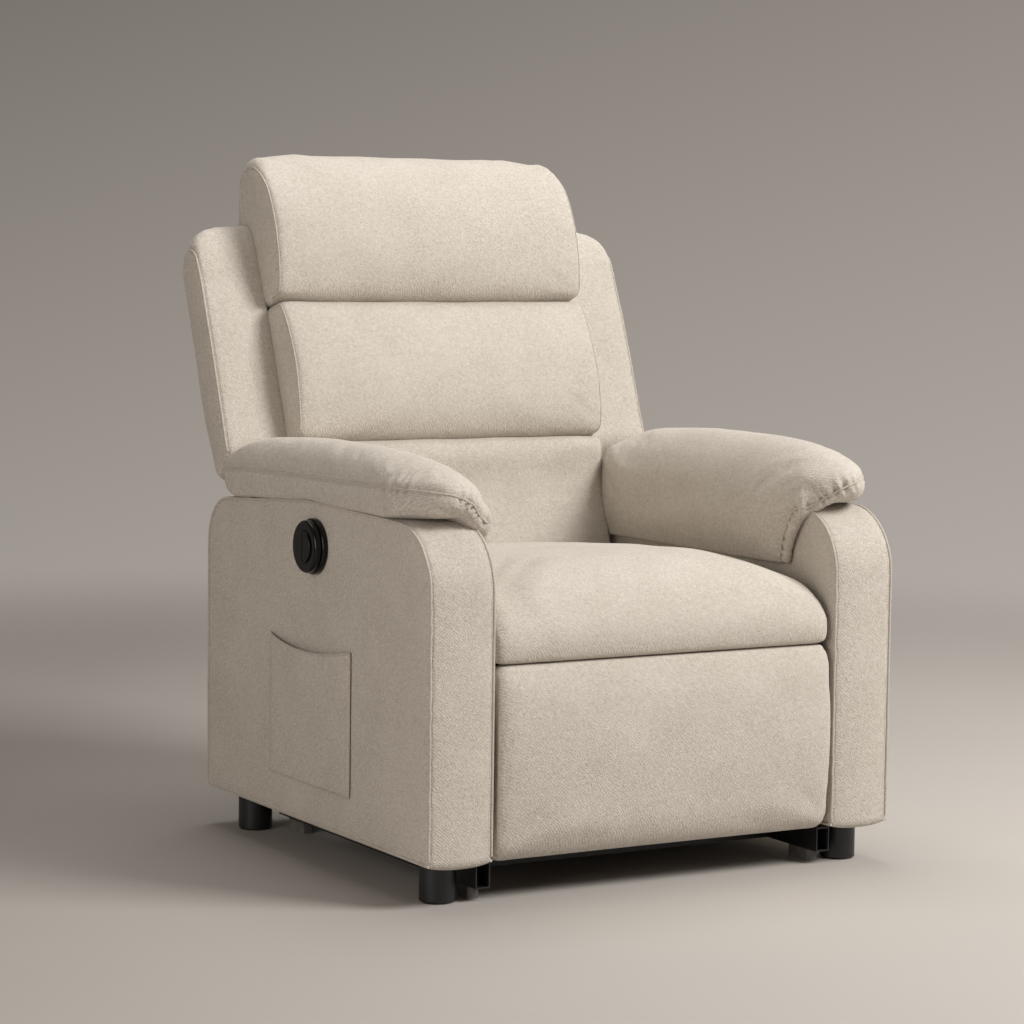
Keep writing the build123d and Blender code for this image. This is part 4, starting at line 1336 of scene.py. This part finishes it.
# ---- cloth panels ----------------------------------------------------------------------------
@dataclass
class Pocket:
    """A patch pocket sewn on the sitter's right arm along three sides, its mouth hanging open."""

    trim: Trim
    piping: Recipe
    gape: float = 7.5           # how far its mouth stands off the arm
    dip: float = 13.0           # how far the mouth's middle hangs
    ease: float = 1.6           # how far the rest of it stands off
    cloth: float = 1.3          # thickness
    columns: int = 66
    rows: int = 54

    def build(self) -> None:
        """Lay out the patch, open its mouth, and hem and stitch it."""
        low, high = node_box("side_pocket")
        wall = node_box("arm_cover_right")[0][0] - 1.2
        across, up = np.meshgrid(np.linspace(0, 1, self.columns), np.linspace(0, 1, self.rows))
        top = high[2] - self.dip * (1 - (2 * across - 1) ** 2)
        y = low[1] + across * (high[1] - low[1])
        z = low[2] + up * (top - low[2])
        bow = np.sin(math.pi * across) ** 0.7
        away = 0.9 + self.gape * bow * up ** 2.2
        away += self.ease * np.clip(bow * 3, 0, 1) * np.clip(up * 8, 0, 1)
        flat = np.column_stack([y.ravel(), z.ravel(), 0 * z.ravel()])
        away += (0.5 * ripple(flat, 85.0, 3)).reshape(away.shape) * bow
        points = np.stack([wall - away, y, z], axis=2).reshape(-1, 3)
        c = self.columns
        faces = [(r * c + i, r * c + i + 1, (r + 1) * c + i + 1, (r + 1) * c + i)
                 for r in range(self.rows - 1) for i in range(c - 1)]
        patch = mesh_piece("pocket_patch", points, faces)
        if patch.data.polygons[0].normal.x > 0:
            patch.data.flip_normals()
        thick = patch.modifiers.new("cloth", "SOLIDIFY")
        thick.thickness, thick.offset = self.cloth * MM, 0.0
        settle(patch)
        patch.data.shade_smooth()
        grid = points.reshape(self.rows, c, 3)
        hem = grid[-1].copy()
        edges = [grid[:, 0], grid[0], grid[::-1, -1]]
        outline = np.vstack([edges[0][::-1], edges[1], edges[2][::-1]])
        seams = [Seam(outline, cord=0.9, stitched=())]
        self.trim.follow(patch, seams)
        rows = [Seam(np.vstack([grid[::-1, 2], grid[2, 2:-2], grid[:, -3]]), cord=0.0,
                     stitched=(0.0,)),
                Seam(grid[-6], cord=0.0, stitched=(0.0,))]
        self.trim.follow(patch, rows)
        roll = self.piping.make("pocket_hem", [hem], PIPING, {"Radius": 1.6 * MM})
        patch.data.materials.clear()
        patch.data.materials.append(LINEN.build())
        for piece in (patch, roll):
            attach(piece, Body.CHAIR.value)
        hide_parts("side_pocket")


@dataclass
class RearPanels:
    """The flat upholstered panels that close the back of the chair."""

    edge: float = 4.5
    voxel: float = 4.5
    back: tuple[tuple[float, float], ...] = (
        (-75.0, 76.5), (-75.0, 86.0), (568.0, 86.0), (575.0, 80.0), (575.0, 62.0), (563.0, 62.0),
        (560.0, 76.5))
    puff: float = 1.6           # how far their middles stand out
    wave: float = 1.3           # how uneven they are

    def build(self) -> None:
        """Make the backrest's outer cover and the apron under it."""
        self.panel("back_cover", closed([LEAN.at(self.back)], 6.0), "back_outer_panel",
                   Body.BACKREST)
        low, high = node_box("rear_apron")
        loop = closed([np.array([(low[1], low[2]), (high[1], low[2]), (high[1], high[2]),
                                 (low[1], high[2])])], 9.0)
        self.panel("apron_cover", loop, "rear_apron", Body.CHAIR)

    def panel(self, name: str, loop: Points, node: str, body: Body) -> None:
        """Make and dress one panel.

        Args:
            name: its name.
            loop: its side view.
            node: the CAD node that it stands for.
            body: the body that it rides on.
        """
        half = node_box(node)[1][0]
        cover = remeshed(swept(name, loop, -half, half, self.edge, self.edge), self.voxel)
        cover.data.shade_smooth()
        points, normals = read_points(cover.data), read_normals(cover.data)
        inward = np.clip((half - np.abs(points[:, 0])) / 40.0, 0, 1)
        height = inward * (self.puff + self.wave * ripple(points, 150.0, 91))
        write_points(cover.data, points + normals * height[:, None])
        dress_soft(cover, body, node)


# ---- hard parts ------------------------------------------------------------------------------
def dress_hard_parts() -> None:
    """Give every CAD node that stays its finish, by its slot in the record."""
    finishes = {finish.slot: finish for finish in HARD_FINISHES}
    slots = {}
    for entry in frame["record"]["materials"]:
        for node in entry.get("nodes", []):
            slots[node] = entry["slot"]
    for name, node in frame["nodes"].items():
        if node.hide_render:
            continue
        own = [m.material.name.split(".")[0] for m in node.material_slots if m.material]
        slot = slots.get(name) or next((s for s in own if s in finishes), None)
        if slot not in finishes:
            log.warning("%s has no finish for %s", name, slot or own)
            continue
        material = finishes[slot].build()
        if node.material_slots:
            for place in node.material_slots:
                place.material = material
        else:
            node.data.materials.append(material)


# ---- studio ----------------------------------------------------------------------------------
AIM = Vector((0.0, 0.0, 0.5))       # the middle of the chair


@dataclass(frozen=True)
class Lamp:
    """A square soft light aimed at the chair: its place and side in metres, its power in watts."""

    name: str
    at: tuple[float, float, float]
    size: float
    power: float
    colour: str

    def build(self) -> None:
        """Hang the light."""
        data = bpy.data.lights.new(self.name, "AREA")
        data.shape, data.size, data.energy = "SQUARE", self.size, self.power
        data.color = linear(self.colour)[:3]
        lamp = new_object(self.name, data)
        lamp.location = self.at
        lamp.rotation_mode = "QUATERNION"
        lamp.rotation_quaternion = (AIM - Vector(self.at)).to_track_quat("-Z", "Y")


@dataclass
class Studio:
    """Camera, soft lights and a floor with painted shade, darker to the left, that fades into the
    room.
    """

    eye: tuple[float, float, float] = (-2357.9, -3606.8, 920.4)
    yaw: float = 30.19
    pitch: float = 5.15
    roll: float = 0.72
    lens: float = 107.3
    reach: float = 8000.0                       # half the floor's side
    fade: tuple[float, float] = (1.7, 4.2)      # where the floor melts into the room, metres
    lamps: tuple[Lamp, ...] = (
        Lamp("key_light", (2.3, -2.9, 3.4), 1.8, 232.0, "FFFEFC"),
        Lamp("fill_light", (-3.2, -1.2, 1.05), 1.6, 31.0, "FFFAF5"),
        Lamp("top_light", (0.3, 0.8, 3.4), 2.0, 48.0, "FFFEFC"))

    def camera(self) -> None:
        """Set up the camera."""
        yaw, pitch, roll = (math.radians(a) for a in (self.yaw, self.pitch, self.roll))
        ahead = Vector((math.sin(yaw) * math.cos(pitch), math.cos(yaw) * math.cos(pitch),
                        -math.sin(pitch)))
        right = Vector((math.cos(yaw), -math.sin(yaw), 0.0))
        up = right.cross(ahead)
        turned = right * math.cos(roll) + up * math.sin(roll)
        upright = -right * math.sin(roll) + up * math.cos(roll)
        data = bpy.data.cameras.new("camera")
        data.lens, data.sensor_width = self.lens, 36.0
        camera = new_object("camera", data)
        place = Matrix((turned, upright, -ahead)).transposed().to_4x4()
        place.translation = to_scene(np.array(self.eye))
        camera.matrix_world = place
        bpy.context.scene.camera = camera

    def across(self, tree: bpy.types.NodeTree, way: bpy.types.NodeSocket) -> bpy.types.NodeSocket:
        """How far a direction or place lies to the camera's right."""
        yaw = math.radians(self.yaw)
        node = add_node(tree, "ShaderNodeVectorMath", {"operation": "DOT_PRODUCT"},
                        {0: way, 1: (math.cos(yaw), -math.sin(yaw), 0.0)})
        return node.outputs["Value"]

    def floor(self) -> None:
        """A matt seamless floor with painted shade: darker to the left, away from the key light, and
        lighter towards it; it melts away far from the chair.
        """
        corners = [(x * self.reach, y * self.reach, 0.0)
                   for x, y in ((-1, -1), (1, -1), (1, 1), (-1, 1))]
        floor = mesh_piece("floor", np.array(corners), [(0, 1, 2, 3)])
        material = bpy.data.materials.new("studio_vinyl")
        material.use_nodes = True
        tree = material.node_tree
        tree.nodes.clear()
        place = add_node(tree, "ShaderNodeTexCoord").outputs["Object"]
        away = add_node(tree, "ShaderNodeVectorMath", {"operation": "LENGTH"}, {0: place})
        melt = add_node(tree, "ShaderNodeMapRange", {"interpolation_type": "SMOOTHERSTEP"},
                        {"Value": away.outputs["Value"], "From Min": self.fade[0],
                         "From Max": self.fade[1]})
        cloudy = add_node(tree, "ShaderNodeTexNoise", inputs={"Vector": place, "Scale": 1.6,
                                                              "Detail": 3.0})
        # painted shade: the floor's colour follows how far it lies to the camera's right, darker to
        # the left away from the key light, with cloudy noise for uneven tone
        across = self.across(tree, place)
        uneven = add_node(tree, "ShaderNodeMath", {"operation": "MULTIPLY_ADD"},
                          {0: cloudy.outputs["Fac"], 1: 0.3, 2: across})
        share = add_node(tree, "ShaderNodeMapRange", inputs={
            "Value": uneven.outputs[0], "From Min": -0.75, "From Max": 1.1})
        # 9D9791 is the painted-shade tone on the left, BDB7B1 the painted lit tone towards the key
        # light
        colour = add_node(tree, "ShaderNodeMix", {"data_type": "RGBA"},
                          {"Factor": share.outputs[0], 6: linear("9D9791"),
                           7: linear("BDB7B1")})
        vinyl = add_node(tree, "ShaderNodeBsdfPrincipled", inputs={
            "Base Color": colour.outputs[2], "Roughness": 0.7})
        clear = add_node(tree, "ShaderNodeBsdfTransparent")
        both = add_node(tree, "ShaderNodeMixShader", inputs={
            0: melt.outputs[0], 1: vinyl.outputs[0], 2: clear.outputs[0]})
        add_node(tree, "ShaderNodeOutputMaterial", inputs={"Surface": both.outputs[0]})
        floor.data.materials.append(material)

    def room(self) -> None:
        """A plain room: a little brighter low down and towards the key light."""
        world = bpy.data.worlds.new("room")
        world.use_nodes = True
        tree = world.node_tree
        tree.nodes.clear()
        way = add_node(tree, "ShaderNodeTexCoord").outputs["Generated"]
        height = add_node(tree, "ShaderNodeSeparateXYZ", inputs={0: way}).outputs["Z"]
        across = self.across(tree, way)
        tilted = add_node(tree, "ShaderNodeMath", {"operation": "MULTIPLY_ADD"},
                          {0: across, 1: -0.32, 2: height})
        share = add_node(tree, "ShaderNodeMapRange", inputs={
            "Value": tilted.outputs[0], "From Min": -0.25, "From Max": 0.15})
        ramp = add_node(tree, "ShaderNodeValToRGB", inputs={"Fac": share.outputs[0]})
        ramp.color_ramp.elements[0].color = linear("BCB5AF")
        ramp.color_ramp.elements[1].color = linear("756F69")
        middle = ramp.color_ramp.elements.new(0.5)
        middle.color = linear("9F9891")
        back = add_node(tree, "ShaderNodeBackground", inputs={"Color": ramp.outputs["Color"],
                                                              "Strength": 1.0})
        add_node(tree, "ShaderNodeOutputWorld", inputs={"Surface": back.outputs[0]})
        bpy.context.scene.world = world

    def build(self) -> None:
        """Set up the whole studio."""
        scene = bpy.context.scene
        scene.view_settings.view_transform = "Standard"
        self.camera()
        self.floor()
        self.room()
        for lamp in self.lamps:
            lamp.build()


# ---- all together ----------------------------------------------------------------------------
def main() -> None:
    """Build every sub-assembly in order."""
    logging.basicConfig(level=logging.INFO, format="%(name)s: %(message)s")
    bpy.context.scene.frame_set(1)
    trims = {body: Trim(body) for body in Body}
    piping, stitches = piping_recipe(), stitch_recipe()
    Studio().build()
    chair, back = trims[Body.CHAIR], trims[Body.BACKREST]
    ArmBox(chair).build()
    ArmPad(chair).build()
    Pocket(chair, piping).build()
    Seat().build()
    Footrest().build()
    rear = 30.0
    BackCushion("back_lower_cushion", "lumbar_cushion",
                ((-60.0, 8.0), (0.0, 3.0), (60.0, -1.0), (105.0, -8.0), (140.0, -27.0),
                 (157.0, -31.0), (168.0, -25.0), (172.6, -6.0)),
                ((172.6, rear), (-60.0, rear)), back, cheek=(-55.0, 173.0), cap=6.0, ease=10,
                wider=2.5, seed=2).build()
    BackCushion("back_middle_cushion", "middle_cushion",
                ((172.4, -6.0), (175.0, -26.0), (196.0, -39.0), (270.0, -53.0), (330.0, -51.0),
                 (374.0, -42.0), (397.0, -31.0), (403.0, -4.0)),
                ((403.0, rear), (172.4, rear)), back, cheek=(172.0, 403.4), wider=5.5,
                seed=3).build()
    BackCushion("back_head_cushion", "head_cushion",
                ((404.0, -4.0), (406.5, -30.0), (429.0, -45.0), (520.0, -60.0), (592.0, -48.0),
                 (640.0, -22.0), (660.0, 6.0), (655.0, 34.0), (634.0, 52.0), (556.0, 70.0)),
                ((556.0, rear), (404.0, rear)), back, cheek=(403.0, 590.0), corner=36.0,
                wider=6.5, seed=4).build()
    Wing(back).build()
    RearPanels().build()
    for trim in trims.values():
        trim.finish(piping, stitches)
    dress_hard_parts()
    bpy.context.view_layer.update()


if __name__ == "__main__":
    main()
